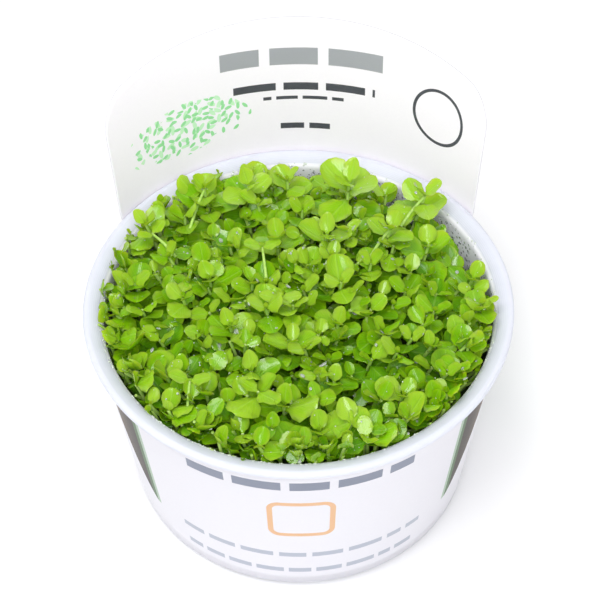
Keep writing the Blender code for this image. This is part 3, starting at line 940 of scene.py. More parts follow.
class Skeleton:
    """Points for shapes and lines for tubes, each with what the growth tree reads."""

    def __init__(self):
        self.verts = []
        self.edges = []
        self.rows = []

    def add_shape(self, place, axes, size, kind, tone):
        """A shape at a point, turned to its axes and scaled."""
        euler = Matrix(axes.tolist()).transposed().to_euler()
        self.verts.append(tuple(place))
        self.rows.append((True, tuple(euler), tuple(size), kind, 0.0, tone))

    def add_line(self, points, girths, tone):
        """A tube along points, with its radius at each."""
        first = len(self.verts)
        for point, girth in zip(points, girths):
            self.verts.append(tuple(point))
            self.rows.append((False, (0, 0, 0), (1, 1, 1), 0, girth, tone))
        self.edges += [(first + k, first + k + 1) for k in range(len(points) - 1)]

    def grow(self, name, shapes, shape_finish, tube_finish, sides=STEM_SIDES):
        """The finished piece as a plain mesh."""
        mesh = bpy.data.meshes.new(name)
        mesh.from_pydata(self.verts, self.edges, [])
        for column, (attribute, kind, key, number) in enumerate(POINT_DATA):
            values = np.array([row[column] for row in self.rows], dtype=number).ravel()
            mesh.attributes.new(attribute, kind, "POINT").data.foreach_set(key, values)
        obj = add_object(name, mesh)
        modifier = obj.modifiers.new("Growth", "NODES")
        modifier.node_group = growth_tree()
        set_inputs(modifier, **{"Shapes": shapes, "Tube sides": sides, "Shape finish": shape_finish,
                                "Tube finish": tube_finish})
        settle(obj)
        for attribute, *_ in POINT_DATA[:-1]:
            if attribute in obj.data.attributes:
                obj.data.attributes.remove(obj.data.attributes[attribute])
        return obj


def leaf_tone(height, rng, pair):
    """0 for an old, shaded leaf and 1 for the youngest in full light."""
    middle, by_height, by_pair, scatter = TONE
    tone = middle + by_height * (height - CUP_HEIGHT) / MM + by_pair * (1 - pair) + rng.gauss(0.0, scatter)
    return min(1.0, max(0.0, tone))


def add_shoot(skeleton, shoot, rng, bow_range):
    """One shoot's stem, leaf pairs and the bud at its tip."""
    foot, tip, azimuth, leaves = shoot
    bow_turn = rng.uniform(0.0, math.tau)
    bow = np.array((math.cos(bow_turn), math.sin(bow_turn), 0.0)) * rng.uniform(*bow_range)
    shares = np.linspace(0.0, 1.0, STEM_POINTS)
    points = foot + (tip - foot) * shares[:, None] + bow * np.sin(math.pi * shares)[:, None]
    girths = STEM_TAPER[0] + (STEM_TAPER[1] - STEM_TAPER[0]) * shares
    skeleton.add_line(points, girths, leaf_tone(tip[2], rng, 1))
    for leaf in leaves:
        length = (leaf.length + PETIOLE) * rng.uniform(*FINE_LENGTH)
        width = leaf.length / (1 - STALK_SHARE) * rng.uniform(*FINE_WIDTH)
        kind = rng.randrange(BUD_KIND)
        tone = leaf_tone(leaf.centre[2], rng, leaf.pair)
        skeleton.add_shape(leaf.root, leaf.axes, (length, width, length), kind, tone)
    if rng.random() < BARE_TIPS:
        return
    top_turn = azimuth
    if leaves:
        top_turn = math.atan2(leaves[0].axes[0][1], leaves[0].axes[0][0])
    for number, tilt in enumerate(BUD_TILTS):
        turn = top_turn + math.pi / 2 + math.pi * number
        size = rng.uniform(*BUD_LENGTH)
        axes = leaf_axes(turn, math.radians(tilt), 0.0)
        skeleton.add_shape(tip, axes, (size, size, size), BUD_KIND, min(1.0, leaf_tone(tip[2], rng, 0) + 0.2))


def add_side_shoot(skeleton, row):
    """A thin bare stem that bows up to its tip, with its own small pair of leaves or none."""
    tip, foot, length = np.array(row[:3]) * MM, np.array(row[3:6]) * MM, row[6] * MM
    shares = np.linspace(0.0, 1.0, STEM_POINTS)
    points = foot + (tip - foot) * shares[:, None]
    points[:, 2] += CUP_HEIGHT + SIDE_BOW * np.sin(math.pi * shares)
    skeleton.add_line(points, np.linspace(*SIDE_GIRTHS, STEM_POINTS), 1.0)
    across = math.atan2(tip[1] - foot[1], tip[0] - foot[0]) + math.pi / 2
    for kind, turn in enumerate((across, across + math.pi) if length else ()):
        skeleton.add_shape(points[-1], leaf_axes(turn, SIDE_LEAF_TILT, 0.0), (length,) * 3, kind, 0.8)


# Finishes

def leaf_material(settings):
    """Living leaf, thin and waxy: light comes through the blade and the young ones are paler and yellower.
    Leaves towards the sides and back, and each blade's edge, are painted paler as painted light. The rib and
    its veins show as a faint relief, and some leaves are wetter."""
    mat, add, shader, place, mottle = noisy_material("living leaf blade", 1.6 * MM, 3.0)
    tone = add("ShaderNodeAttribute", attribute_name="tone").outputs["Fac"]
    shade = add("ShaderNodeMath", {0: mottle, 1: 0.50, 2: -0.25}, operation="MULTIPLY_ADD")
    shade = add("ShaderNodeMath", {0: tone, 1: shade}, operation="ADD")
    # Painted light: leaves further from the front middle, at the sides and back, are painted paler
    away = add("ShaderNodeVectorMath", {0: place, 1: LEAST_PAINTED_LIGHT}, operation="DISTANCE")
    away = add("ShaderNodeMapRange",
               {"Value": away.outputs["Value"], "From Min": 0.028, "From Max": 0.040, "To Max": 0.28})
    shade = add("ShaderNodeMath", {0: shade, 1: away}, operation="ADD")
    # On the blade: x along it and y across it, from which come its edge, painted paler as a glow of light
    # through the thin margin, its rib and the slanting veins
    parts = add("ShaderNodeSeparateXYZ", {"Vector": add("ShaderNodeUVMap", uv_map="leaf_uv")})
    across = add("ShaderNodeMath", {0: parts.outputs["Y"], 1: 0.5}, operation="SUBTRACT")
    across = add("ShaderNodeMath", {0: across}, operation="ABSOLUTE")
    # Painted light: the blade's edge is painted paler, for light shining through it
    painted_edge_glow = add("ShaderNodeMapRange", {"Value": across, "From Min": 0.26, "From Max": 0.50, "To Max": 0.30})
    shade = add("ShaderNodeMath", {0: shade, 1: painted_edge_glow}, operation="ADD", use_clamp=True)
    ramp = add("ShaderNodeValToRGB", {"Fac": shade})
    ramp.color_ramp.elements[0].color = settings.shaded_leaf
    ramp.color_ramp.elements[1].color = settings.young_leaf
    ramp.color_ramp.elements.new(0.56).color = settings.leaf
    rib = add("ShaderNodeMapRange", {"Value": across, "From Min": 0.055, "From Max": 0.015},
              interpolation_type="SMOOTHSTEP")
    slant = add("ShaderNodeMath", {0: across, 1: -1.5, 2: parts.outputs["X"]}, operation="MULTIPLY_ADD")
    vein = add("ShaderNodeMath", {0: slant, 1: 0.085}, operation="PINGPONG")
    vein = add("ShaderNodeMapRange", {"Value": vein, "From Min": 0.018, "From Max": 0.004, "To Max": 0.55},
               interpolation_type="SMOOTHSTEP")
    lines = add("ShaderNodeMath", {0: rib, 1: vein}, operation="MAXIMUM")
    faint = add("ShaderNodeMath", {0: lines, 1: 0.13}, operation="MULTIPLY")
    tinted = add("ShaderNodeMix", {"Factor": faint, 6: ramp, 7: settings.vein}, data_type="RGBA")
    gloss = add("ShaderNodeMapRange", {"Value": mottle, "To Min": 0.22, "To Max": 0.44})
    relief = add("ShaderNodeMath", {0: mottle, 1: 0.6, 2: lines}, operation="MULTIPLY_ADD")
    bump = add("ShaderNodeBump", {"Strength": 0.5, "Distance": 0.14 * MM, "Height": relief})
    wet = add("ShaderNodeMath", {0: tone, 1: 0.03}, operation="PINGPONG")
    wet = add("ShaderNodeMapRange", {"Value": wet, "From Min": 0.01, "From Max": 0.03, "To Min": 0.3})
    wire(shader, {"Base Color": tinted.outputs[2], "Roughness": gloss, "Normal": bump, "IOR": 1.42,
                  "Specular IOR Level": 0.1, "Subsurface Weight": 0.45, "Subsurface Radius": (0.9, 1.0, 0.10),
                  "Subsurface Scale": 0.9 * MM, "Coat Weight": wet, "Coat Roughness": 0.14})
    return mat


def stem_material(settings):
    """Soft green stem, pale and a little see-through, with fine lengthwise streaks and a waxy skin."""
    mat, add, shader, place, streaks = noisy_material("living stem", 0.5 * MM)
    stretched = add("ShaderNodeMapping", {"Vector": place, "Scale": (1.0, 1.0, 0.25)})
    wire(streaks.node, {"Vector": stretched})
    tinted = add("ShaderNodeMix", {"Factor": streaks, 6: settings.stem, 7: settings.leaf}, data_type="RGBA")
    bump = add("ShaderNodeBump", {"Strength": 0.3, "Distance": 0.05 * MM, "Height": streaks})
    wire(shader, {"Base Color": tinted.outputs[2], "Normal": bump, "Roughness": 0.42, "IOR": 1.40,
                  "Subsurface Weight": 0.5, "Subsurface Radius": (0.9, 1.0, 0.30),
                  "Subsurface Scale": 0.8 * MM})
    return mat


def tangle_material(settings):
    """Shaded stems and rotting leaves packed together: dark and damp, mottled from olive to brown."""
    mat, add, shader, place, patches = noisy_material("shaded plant tangle", 3.0 * MM, 5.0)
    strands = add("ShaderNodeTexVoronoi", {"Vector": place, "Scale": 1 / (1.1 * MM)},
                  feature="DISTANCE_TO_EDGE")
    ramp = add("ShaderNodeValToRGB", {"Fac": patches})
    stops = ((0.34, settings.tangle_brown), (0.66, settings.tangle_green))
    for element, (position, tint) in zip(ramp.color_ramp.elements, stops):
        element.position = position
        element.color = tint
    bump = add("ShaderNodeBump", {"Strength": 0.8, "Distance": 0.5 * MM, "Height": strands})
    damp = add("ShaderNodeMapRange", {"Value": patches, "To Min": 0.35, "To Max": 0.75})
    wire(shader, {"Base Color": ramp, "Normal": bump, "Roughness": damp})
    return mat


def cup_material(settings):
    """Injection-moulded polypropylene with a fine matt skin: milky, so light spreads in it, with a slightly
    uneven gloss from the mould. Its inner wall over the plants is painted whiter, partly for a film of
    condensation and partly as painted light for the glow that comes through the wall."""
    mat, add, shader, place, skin = noisy_material("frosted polypropylene", 2.4 * MM, 4.0)
    gloss = add("ShaderNodeMapRange",
                {"Value": skin, "To Min": settings.frost - 0.06, "To Max": settings.frost + 0.06})
    grain = add("ShaderNodeTexNoise", {"Vector": place, "Scale": 1 / (0.35 * MM), "Detail": 2.0})
    bump = add("ShaderNodeBump", {"Strength": 0.12, "Distance": 0.03 * MM, "Height": grain.outputs["Fac"]})
    parts = add("ShaderNodeSeparateXYZ", {"Vector": place})
    plan = add("ShaderNodeCombineXYZ", {"X": parts.outputs["X"], "Y": parts.outputs["Y"]})
    reach = add("ShaderNodeVectorMath", {0: plan}, operation="LENGTH").outputs["Value"]
    # Turning marks on the flange's dished face
    rings = add("ShaderNodeMath", {0: reach, 1: CORNER / 4}, operation="PINGPONG")
    rings = add("ShaderNodeMapRange", {"Value": rings, "From Max": CORNER / 4, "To Max": 0.8})
    inner = add("ShaderNodeMapRange",
                {"Value": reach, "From Min": RIM_RADIUS - CORNER, "From Max": DISH_RADIUS})
    rings = add("ShaderNodeMath", {0: rings, 1: inner}, operation="MULTIPLY")
    shade = add("ShaderNodeMath", {0: skin, 1: 0.5, 2: rings}, operation="MULTIPLY_ADD")
    tinted = add("ShaderNodeMix", {"Factor": shade, 6: settings.plastic, 7: settings.plastic_shade},
                 data_type="RGBA")
    # Painted light, partly real condensation: the inner wall over the plants is painted whiter, for the glow
    # that comes through it
    within = add("ShaderNodeMapRange",
                 {"Value": reach, "From Min": DISH_RADIUS, "From Max": DISH_RADIUS - CORNER / 2})
    above = add("ShaderNodeMapRange",
                {"Value": parts.outputs["Z"], "From Min": MAT_TOP - 6 * MM, "From Max": MAT_TOP})
    fog_and_painted_glow = add("ShaderNodeMath", {0: within, 1: above}, operation="MULTIPLY")
    tinted = add("ShaderNodeMix", {"Factor": fog_and_painted_glow, 6: tinted.outputs[2], 7: settings.fog_and_painted_glow}, data_type="RGBA")
    shader.subsurface_method = "BURLEY"
    wire(shader, {"Base Color": tinted.outputs[2], "Roughness": gloss, "Normal": bump, "IOR": 1.49,
                  "Specular IOR Level": 0.4, "Transmission Weight": settings.clarity,
                  "Subsurface Weight": 0.8, "Subsurface Radius": (1.0, 1.0, 1.05),
                  "Subsurface Scale": 2.2 * MM})
    return mat


def simple_finish(name, grain, inputs, tints=None, gloss=None, detail=2.0):
    """A finish that one noise varies: its colour between two tints, its roughness over a range, or both."""
    mat, add, shader, _, noise = noisy_material(name, grain, detail)
    if tints:
        tinted = add("ShaderNodeMix", {"Factor": noise, 6: tints[0], 7: tints[1]}, data_type="RGBA")
        wire(shader, {"Base Color": tinted.outputs[2]})
    if gloss:
        rough = add("ShaderNodeMapRange", {"Value": noise, "To Min": gloss[0], "To Max": gloss[1]})
        wire(shader, {"Roughness": rough})
    wire(shader, inputs)
    return mat


def water_material(name, clear):
    """Clean water in small beads: clear and pale with a sharp glint; less clear ones are whitened as a painted
    highlight.
    """
    return simple_finish(name, 1.5 * MM, {"Base Color": linear("#FBFEFF"), "IOR": WATER_IOR,
                                          "Transmission Weight": clear}, gloss=(0.0, 0.06))


def dew_glint_material():
    """Fine beads of dew, whitish and half clear so that they read as small white specks: partly real dew,
    partly painted glints.
    """
    return simple_finish("milky dew", 0.6 * MM, {"Roughness": 0.12, "IOR": WATER_IOR,
                                                 "Transmission Weight": 0.35},
                         tints=(linear("#F8FCF6"), linear("#EAF6E4")))


def gel_material(settings):
    """Set agar gel: watery and clear with a faint straw haze, and cloudier patches inside."""
    return simple_finish("agar gel", 7.0 * MM, {"IOR": 1.34, "Transmission Weight": 0.80},
                         tints=(settings.gel, settings.gel_haze), gloss=(0.10, 0.38), detail=3.0)


def root_material(settings):
    """Young root: a pale tan thread, matt and slightly fuzzy."""
    return simple_finish("young root", 2.0 * MM, {"Roughness": 0.7},
                         tints=(settings.root, settings.tangle_green))


# Finishes of the card: printed places are plain bars, rings and leaf sprinkles

def printed(add, under, mask, ink):
    """The card's colour so far, with an ink laid over it as far as its mask says."""
    return add("ShaderNodeMix", {"Factor": mask, 6: under, 7: ink}, data_type="RGBA").outputs[2]


def card_base(name, face, shade):
    """Coated card: smooth and white, with the faint tooth of the board under a satin coat. Also gives what
    adds nodes, the shader, the place along and up the card in millimetres, and its colour before printing."""
    mat, add, shader, _, tooth = noisy_material(name, 0.45 * MM, 3.0)
    bump = add("ShaderNodeBump", {"Strength": 0.10, "Distance": 0.02 * MM, "Height": tooth})
    satin = add("ShaderNodeMapRange", {"Value": tooth, "To Min": 0.36, "To Max": 0.48})
    wire(shader, {"Normal": bump, "Roughness": satin, "IOR": 1.50, "Specular IOR Level": 0.2,
                  "Coat Weight": 0.04, "Coat Roughness": 0.25, "Subsurface Weight": 0.9,
                  "Subsurface Radius": (1.0, 1.0, 1.0), "Subsurface Scale": 0.55 * MM})
    parts = add("ShaderNodeSeparateXYZ", {"Vector": add("ShaderNodeUVMap", uv_map="card_mm")})
    return mat, add, shader, parts.outputs["X"], parts.outputs["Y"], printed(add, face, tooth, shade)


@functools.lru_cache(maxsize=None)
def word_row_group():
    """A row of blank bars, as long as words are, in card millimetres."""
    names = (*PATCH_INPUTS, "Bar length", "Shift")
    tree, add, given, result = new_tree("Row of blank bars", "ShaderNodeTree", dict.fromkeys(names, "Float"),
                                        {"Ink": "Float"})
    steps = add("ShaderNodeMath", {0: given["Along"], 1: given["Bar length"]}, operation="DIVIDE")
    steps = add("ShaderNodeMath", {0: steps, 1: given["Shift"]}, operation="ADD")
    gaps = add("ShaderNodeTexVoronoi", {"W": steps, "Scale": 1.0, "Randomness": 0.75},
               voronoi_dimensions="1D", feature="DISTANCE_TO_EDGE")
    ink = add("ShaderNodeMath", {0: gaps.outputs["Distance"], 1: 0.09}, operation="GREATER_THAN")
    for place, middle, half in (("Along", "Middle", "Half length"), ("Up", "Height", "Half height")):
        off = add("ShaderNodeMath", {0: given[place], 1: given[middle]}, operation="SUBTRACT")
        off = add("ShaderNodeMath", {0: off}, operation="ABSOLUTE")
        within = add("ShaderNodeMath", {0: off, 1: given[half]}, operation="LESS_THAN")
        ink = add("ShaderNodeMath", {0: ink, 1: within}, operation="MULTIPLY")
    wire(result, {"Ink": ink})
    return tree


@functools.lru_cache(maxsize=None)
def leaf_sprinkle_group():
    """Small slender leaves strewn over a patch of the card with a ragged edge."""
    names = (*PATCH_INPUTS, "Leaf size")
    tree, add, given, result = new_tree("Sprinkle of printed leaves", "ShaderNodeTree",
                                        dict.fromkeys(names, "Float"), {"Ink": "Float"})
    place = add("ShaderNodeCombineXYZ", {"X": given["Along"], "Y": given["Up"]})
    finer = add("ShaderNodeMath", {0: 1.0, 1: given["Leaf size"]}, operation="DIVIDE")
    place = add("ShaderNodeVectorMath", {0: place, "Scale": finer}, operation="SCALE")
    cells = add("ShaderNodeTexVoronoi", {"Vector": place, "Scale": 1.0, "Randomness": 0.9},
                voronoi_dimensions="2D")
    local = add("ShaderNodeVectorMath", {0: place, 1: cells.outputs["Position"]}, operation="SUBTRACT")
    hue = add("ShaderNodeSeparateColor", {"Color": cells.outputs["Color"]})
    turn = add("ShaderNodeMath", {0: hue.outputs["Red"], 1: math.tau}, operation="MULTIPLY")
    local = add("ShaderNodeVectorRotate", {"Vector": local, "Angle": turn}, rotation_type="Z_AXIS")
    local = add("ShaderNodeVectorMath", {0: local, 1: (2.1, 4.6, 0.0)}, operation="MULTIPLY")
    size = add("ShaderNodeVectorMath", {0: local}, operation="LENGTH")
    leaf = add("ShaderNodeMath", {0: size.outputs["Value"], 1: 1.0}, operation="LESS_THAN")
    spans = []
    for along, middle, half in (("Along", "Middle", "Half length"), ("Up", "Height", "Half height")):
        off = add("ShaderNodeMath", {0: given[along], 1: given[middle]}, operation="SUBTRACT")
        off = add("ShaderNodeMath", {0: off, 1: given[half]}, operation="DIVIDE")
        spans.append(add("ShaderNodeMath", {0: off, 1: 2.0}, operation="POWER"))
    far = add("ShaderNodeMath", {0: spans[0], 1: spans[1]}, operation="ADD")
    ragged = add("ShaderNodeMath", {0: hue.outputs["Green"], 1: 0.7, 2: far}, operation="MULTIPLY_ADD")
    patch = add("ShaderNodeMath", {0: ragged, 1: 1.0}, operation="LESS_THAN")
    wire(result, {"Ink": add("ShaderNodeMath", {0: leaf, 1: patch}, operation="MULTIPLY")})
    return tree


def print_patches(add, colour, group, along, up, patches, settings):
    """The card's colour with patches over it, each in its ink and with the values its group takes in turn."""
    for ink, *values in patches:
        patch = add("ShaderNodeGroup", dict(enumerate((along, up, *values))), node_tree=group)
        colour = printed(add, colour, patch, getattr(settings, ink))
    return colour


def inside_card_material(settings):
    """The tab's printed face, which looks forward over the plants."""
    mat, add, shader, along, up, colour = card_base("coated card, printed tab", settings.tab,
                                                    settings.tab_shade)
    colour = print_patches(add, colour, word_row_group(), along, up, TAB_BARS, settings)
    x, y, radius, half_line = TAB_RING
    off_x = add("ShaderNodeMath", {0: along, 1: x}, operation="SUBTRACT")
    off_y = add("ShaderNodeMath", {0: up, 1: y}, operation="SUBTRACT")
    reach = add("ShaderNodeCombineXYZ", {"X": off_x, "Y": off_y})
    reach = add("ShaderNodeVectorMath", {0: reach}, operation="LENGTH").outputs["Value"]
    ring = add("ShaderNodeMath", {0: reach, 1: radius, 2: half_line}, operation="COMPARE")
    colour = printed(add, colour, ring, settings.dark_ink)
    colour = print_patches(add, colour, leaf_sprinkle_group(), along, up, TAB_LEAVES, settings)
    wire(shader, {"Base Color": colour})
    return mat


def outside_card_material(settings):
    """The sleeve's printed face: faint bars and a plain rounded frame at the front, a brown and green pointed
    band on each side, and pale leaves round the back."""
    mat, add, shader, along, up, colour = card_base("coated card, printed sleeve", settings.card,
                                                    settings.card_shade)
    front = add("ShaderNodeMath", {0: HALF_ROUND, 1: along}, operation="SUBTRACT")
    colour = print_patches(add, colour, word_row_group(), front, up, FRONT_BARS, settings)
    # A rounded frame from the distance to a box
    sides = []
    for place, middle, half in ((front, *FRAME_ALONG), (up, *FRAME_UP)):
        off = add("ShaderNodeMath", {0: place, 1: middle}, operation="SUBTRACT")
        off = add("ShaderNodeMath", {0: off}, operation="ABSOLUTE")
        off = add("ShaderNodeMath", {0: off, 1: half}, operation="SUBTRACT")
        sides.append(add("ShaderNodeMath", {0: off, 1: 0.0}, operation="MAXIMUM"))
    corner = add("ShaderNodeCombineXYZ", {"X": sides[0], "Y": sides[1]})
    corner = add("ShaderNodeVectorMath", {0: corner}, operation="LENGTH").outputs["Value"]
    border = add("ShaderNodeMath", {0: corner, 1: FRAME_LINE[0], 2: FRAME_LINE[1]}, operation="COMPARE")
    colour = printed(add, colour, border, settings.orange)
    # The pointed bands: between a plumb edge and one that swings back as it rises
    around = add("ShaderNodeMath", {0: front, 1: HALF_ROUND}, operation="PINGPONG")
    rise = add("ShaderNodeMapRange", {"Value": up, "From Min": BAND_FOOT, "From Max": BAND_HEAD})
    rise = add("ShaderNodeMath", {0: rise, 1: 0.75}, operation="POWER")
    rear = add("ShaderNodeMath", {0: rise, 1: BAND_SWING, 2: BAND_POINT}, operation="MULTIPLY_ADD")
    behind = add("ShaderNodeMath", {0: around, 1: rear}, operation="LESS_THAN")
    above = add("ShaderNodeMath", {0: up, 1: BAND_FOOT}, operation="GREATER_THAN")
    band = add("ShaderNodeMath", {0: behind, 1: above}, operation="MULTIPLY")
    fade = add("ShaderNodeMapRange", {"Value": around, "From Min": BAND_FADE[0], "From Max": BAND_FADE[1]})
    bark = printed(add, settings.bark, fade, settings.bark_light)
    for edge, ink in zip(BAND_EDGES, (settings.sage, settings.leaf_ink, bark)):
        before = add("ShaderNodeMath", {0: around, 1: edge}, operation="GREATER_THAN")
        both = add("ShaderNodeMath", {0: before, 1: band}, operation="MULTIPLY")
        colour = printed(add, colour, both, ink)
    back = add("ShaderNodeMath", {0: around, 1: BACK_MIDDLE}, operation="SUBTRACT")
    colour = print_patches(add, colour, leaf_sprinkle_group(), back, up, BACK_LEAVES, settings)
    # The glued overlap under the tab shows as a thin grey edge
    seam = add("ShaderNodeMath", {0: front, 1: SEAM[0], 2: SEAM[1]}, operation="COMPARE")
    low = add("ShaderNodeMath", {0: up, 1: CUP_HEIGHT / MM}, operation="LESS_THAN")
    seam = add("ShaderNodeMath", {0: seam, 1: low}, operation="MULTIPLY")
    wire(shader, {"Base Color": printed(add, colour, seam, settings.faint_ink)})
    return mat


# Pieces

def rounded(profile, radius, points):
    """A line of (radius, height) points with its inner corners rounded off."""
    line = [Vector(point) for point in profile]
    result = [line[0]]
    for before, corner, after in zip(line, line[1:], line[2:]):
        cut = min(radius, (corner - before).length * 0.45, (after - corner).length * 0.45)
        start = corner + (before - corner).normalized() * cut
        end = corner + (after - corner).normalized() * cut
        for k in range(points + 1):
            t = k / points
            result.append(start * (1 - t) ** 2 + corner * 2 * t * (1 - t) + end * t * t)
    return result + [line[-1]]


def lathe(name, profile, segments, mat):
    """Spin a profile of (radius, height) points, given down its outer side, about the Z axis."""
    bm = bmesh.new()
    verts = [bm.verts.new((radius, 0.0, height)) for radius, height in profile]
    for first, second in zip(verts, verts[1:]):
        bm.edges.new((first, second))
    obj = add_object(name, mesh_from(bm, name))
    screw = obj.modifiers.new("Turn", "SCREW")
    screw.angle = math.tau
    screw.steps = segments
    screw.render_steps = segments
    screw.use_merge_vertices = True
    screw.merge_threshold = HAIR
    settle(obj)
    obj.data.materials.append(mat)
    obj.data.shade_smooth()
    return obj


def make_cup(settings):
    """The cup with every corner rounded, a dished flange and a foot ring under the base."""
    neck = CUP_HEIGHT - FLANGE_STEP_DROP - FLANGE_THICKNESS
    lip = CUP_HEIGHT - FLANGE_THICKNESS
    profile = [
        (0.0, FLOOR_THICKNESS),
        (wall_inner(FLOOR_THICKNESS) - 2 * CORNER, FLOOR_THICKNESS),
        (wall_inner(FLOOR_THICKNESS + CORNER), FLOOR_THICKNESS + CORNER),
        (wall_inner(WALL_BEND), WALL_BEND),
        *step_line(),
        (RIM_RADIUS - 1.6 * CORNER, CUP_HEIGHT),
        (RIM_RADIUS - CORNER / 2, CUP_HEIGHT),
        (RIM_RADIUS, CUP_HEIGHT - CORNER / 2),
        (RIM_RADIUS, lip),
        (FLANGE_STEP_RADIUS + CORNER, lip),
        (FLANGE_STEP_RADIUS, neck),
        (wall_outer(neck), neck),
        (wall_outer(CORNER), CORNER),
        (BASE_RADIUS - CORNER, 0.0),
        (FOOT_RING_RADIUS, 0.0),
        (FOOT_RING_RADIUS - CORNER / 2, FOOT_RING_HEIGHT),
        (0.0, FOOT_RING_HEIGHT),
    ]
    line = rounded(profile, CORNER / 2, CORNER_POINTS)
    return lathe("culture_cup", line, settings.segments, cup_material(settings))


@functools.lru_cache(maxsize=None)
def bead_tree():
    """Strews beads over a surface, thick where the surface is wettest."""
    inputs = {"Surface": "Geometry", "Bead": "Object", "Beads per square metre": "Float", "Spacing": "Float",
              "Smallest": "Float", "Largest": "Float", "Finish": "Material"}
    tree, add, given, result = new_tree("Beads of condensation", "GeometryNodeTree", inputs,
                                        {"Mesh": "Geometry"})
    wetness = add("GeometryNodeInputNamedAttribute", {"Name": "wetness"}, data_type="FLOAT")
    strewn = add("GeometryNodeDistributePointsOnFaces",
                 {"Mesh": given["Surface"], "Distance Min": given["Spacing"], "Density Factor": wetness,
                  "Density Max": given["Beads per square metre"], "Seed": 5}, distribute_method="POISSON")
    bead = add("GeometryNodeObjectInfo", {"Object": given["Bead"], "As Instance": True})
    size = add("FunctionNodeRandomValue", {2: given["Smallest"], 3: given["Largest"], "Seed": 8},
               data_type="FLOAT")
    placed = add("GeometryNodeInstanceOnPoints",
                 {"Points": strewn.outputs["Points"], "Instance": bead.outputs["Geometry"],
                  "Rotation": strewn.outputs["Rotation"], "Scale": size.outputs[1]})
    mesh = add("GeometryNodeRealizeInstances", {"Geometry": placed})
    mesh = add("GeometryNodeSetMaterial", {"Geometry": mesh, "Material": given["Finish"]})
    wire(result, {"Mesh": mesh})
    return tree


def wet_band(name):
    """The strip of the cup's inner wall above the plants, facing inwards, with its wetness by place."""
    bm = bmesh.new()
    rows = [level_ring(bm, float(cup_room(z)) - HAIR, z, ROUND_STEPS) for z in WET_HEIGHTS]
    for low, high in zip(rows, rows[1:]):
        for k in range(ROUND_STEPS):
            after = (k + 1) % ROUND_STEPS
            bm.faces.new((low[k], high[k], high[after], low[after]))
    mesh = mesh_from(bm, name)
    middle, width, least = WET_SIDE
    wetness = []
    for vert in mesh.vertices:
        off = between(math.atan2(vert.co.y, vert.co.x), middle)
        wetness.append(least + (1 - least) * (1 - smooth(off / width)))
    mesh.attributes.new("wetness", "FLOAT", "POINT").data.foreach_set("value", wetness)
    return add_object(name, mesh)


def make_beads(settings):
    """The beads of condensation on the cup's inner wall."""
    bead = drop_shape("bead")
    obj = wet_band("condensation")
    modifier = obj.modifiers.new("Beads", "NODES")
    modifier.node_group = bead_tree()
    set_inputs(modifier, **{"Bead": bead, "Beads per square metre": BEAD_DENSITY,
                            "Spacing": settings.bead_spacing, "Smallest": BEAD_SIZES[0],
                            "Largest": BEAD_SIZES[1], "Finish": water_material("clear water", 0.95)})
    settle(obj)
    bpy.data.objects.remove(bead)
    return obj


def make_rim_beads(settings):
    """A row of beads where the flange meets the wall, thickest at the front left."""
    rng = random.Random(RIM_BEAD_SEED)
    skeleton = Skeleton()
    low, high = (Vector(point) for point in step_line()[1:4:2])
    middle, width, least = RIM_BEAD_SIDE
    while len(skeleton.rows) < settings.rim_beads:
        turn = rng.uniform(0.0, math.tau)
        if rng.random() > least + (1 - least) * (1 - smooth(between(turn, middle) / width)):
            continue
        reach, height = low.lerp(high, rng.uniform(*RIM_BEAD_SPAN))
        size = rng.uniform(*RIM_BEAD_SIZES)
        axes = leaf_axes(turn, math.atan2(*reversed(high - low)), 0.0)
        skeleton.add_shape((*polar(reach, turn), height), axes, (size, size, 2 * size), 0, 1.0)
    return grow_all({"rim_beads": skeleton}, [drop_shape("rim bead")], [dew_glint_material()] * 2)[0]


def make_label(settings):
    """The card's outer face as one sheet, laid out in card millimetres, then given its thickness."""
    turns = [math.sin(math.pi / 2 * k / TAB_COLUMNS) for k in range(-TAB_COLUMNS, TAB_COLUMNS + 1, 2)]
    stations = [TAB_HALF_WIDTH * turn for turn in turns]
    edge = TAB_HALF_WIDTH / TAB_RADIUS
    sweep = math.tau - 2 * edge
    angles = [s / TAB_RADIUS for s in stations]
    angles += [edge + sweep * k / SLEEVE_COLUMNS for k in range(1, SLEEVE_COLUMNS)]
    heights = [LABEL_BOTTOM + (SLEEVE_TOP - LABEL_BOTTOM) * k / LOWER_ROWS for k in range(LOWER_ROWS + 1)]
    bm = bmesh.new()
    uv = bm.loops.layers.uv.new("card_mm")
    height_of = {}
    columns = []
    for angle in angles:
        column = []
        for z in heights:
            radius = sleeve_radius(angle, z)
            column.append(bm.verts.new((radius * math.sin(angle), radius * math.cos(angle), z)))
            height_of[column[-1]] = z
        columns.append(column)
    for s, column in zip(stations, columns):
        for k in range(TAB_ROWS + 1):
            height = tab_top(s) * k / TAB_ROWS
            column.append(bm.verts.new(tab_point(s, height)))
            height_of[column[-1]] = CUP_HEIGHT + height
    for k, column in enumerate(columns):
        following = columns[(k + 1) % len(columns)]
        around = angles[k], angles[k + 1] if k + 1 < len(angles) else math.tau - edge
        for row in range(min(len(column), len(following)) - 1):
            if row >= LOWER_ROWS and k >= len(stations) - 1:
                continue
            face = bm.faces.new((following[row], column[row], column[row + 1], following[row + 1]))
            face.smooth = True
            for loop, angle in zip(face.loops, (around[1], around[0], around[0], around[1])):
                loop[uv].uv = (angle * TAB_RADIUS / MM, height_of[loop.vert] / MM)
    obj = add_object("printed_card", mesh_from(bm, "printed_card"))
    obj.data.materials.append(outside_card_material(settings))
    obj.data.materials.append(inside_card_material(settings))
    solidify = obj.modifiers.new("Card", "SOLIDIFY")
    solidify.thickness = CARD
    solidify.offset = -1.0
    solidify.material_offset = 1
    return settle(obj)


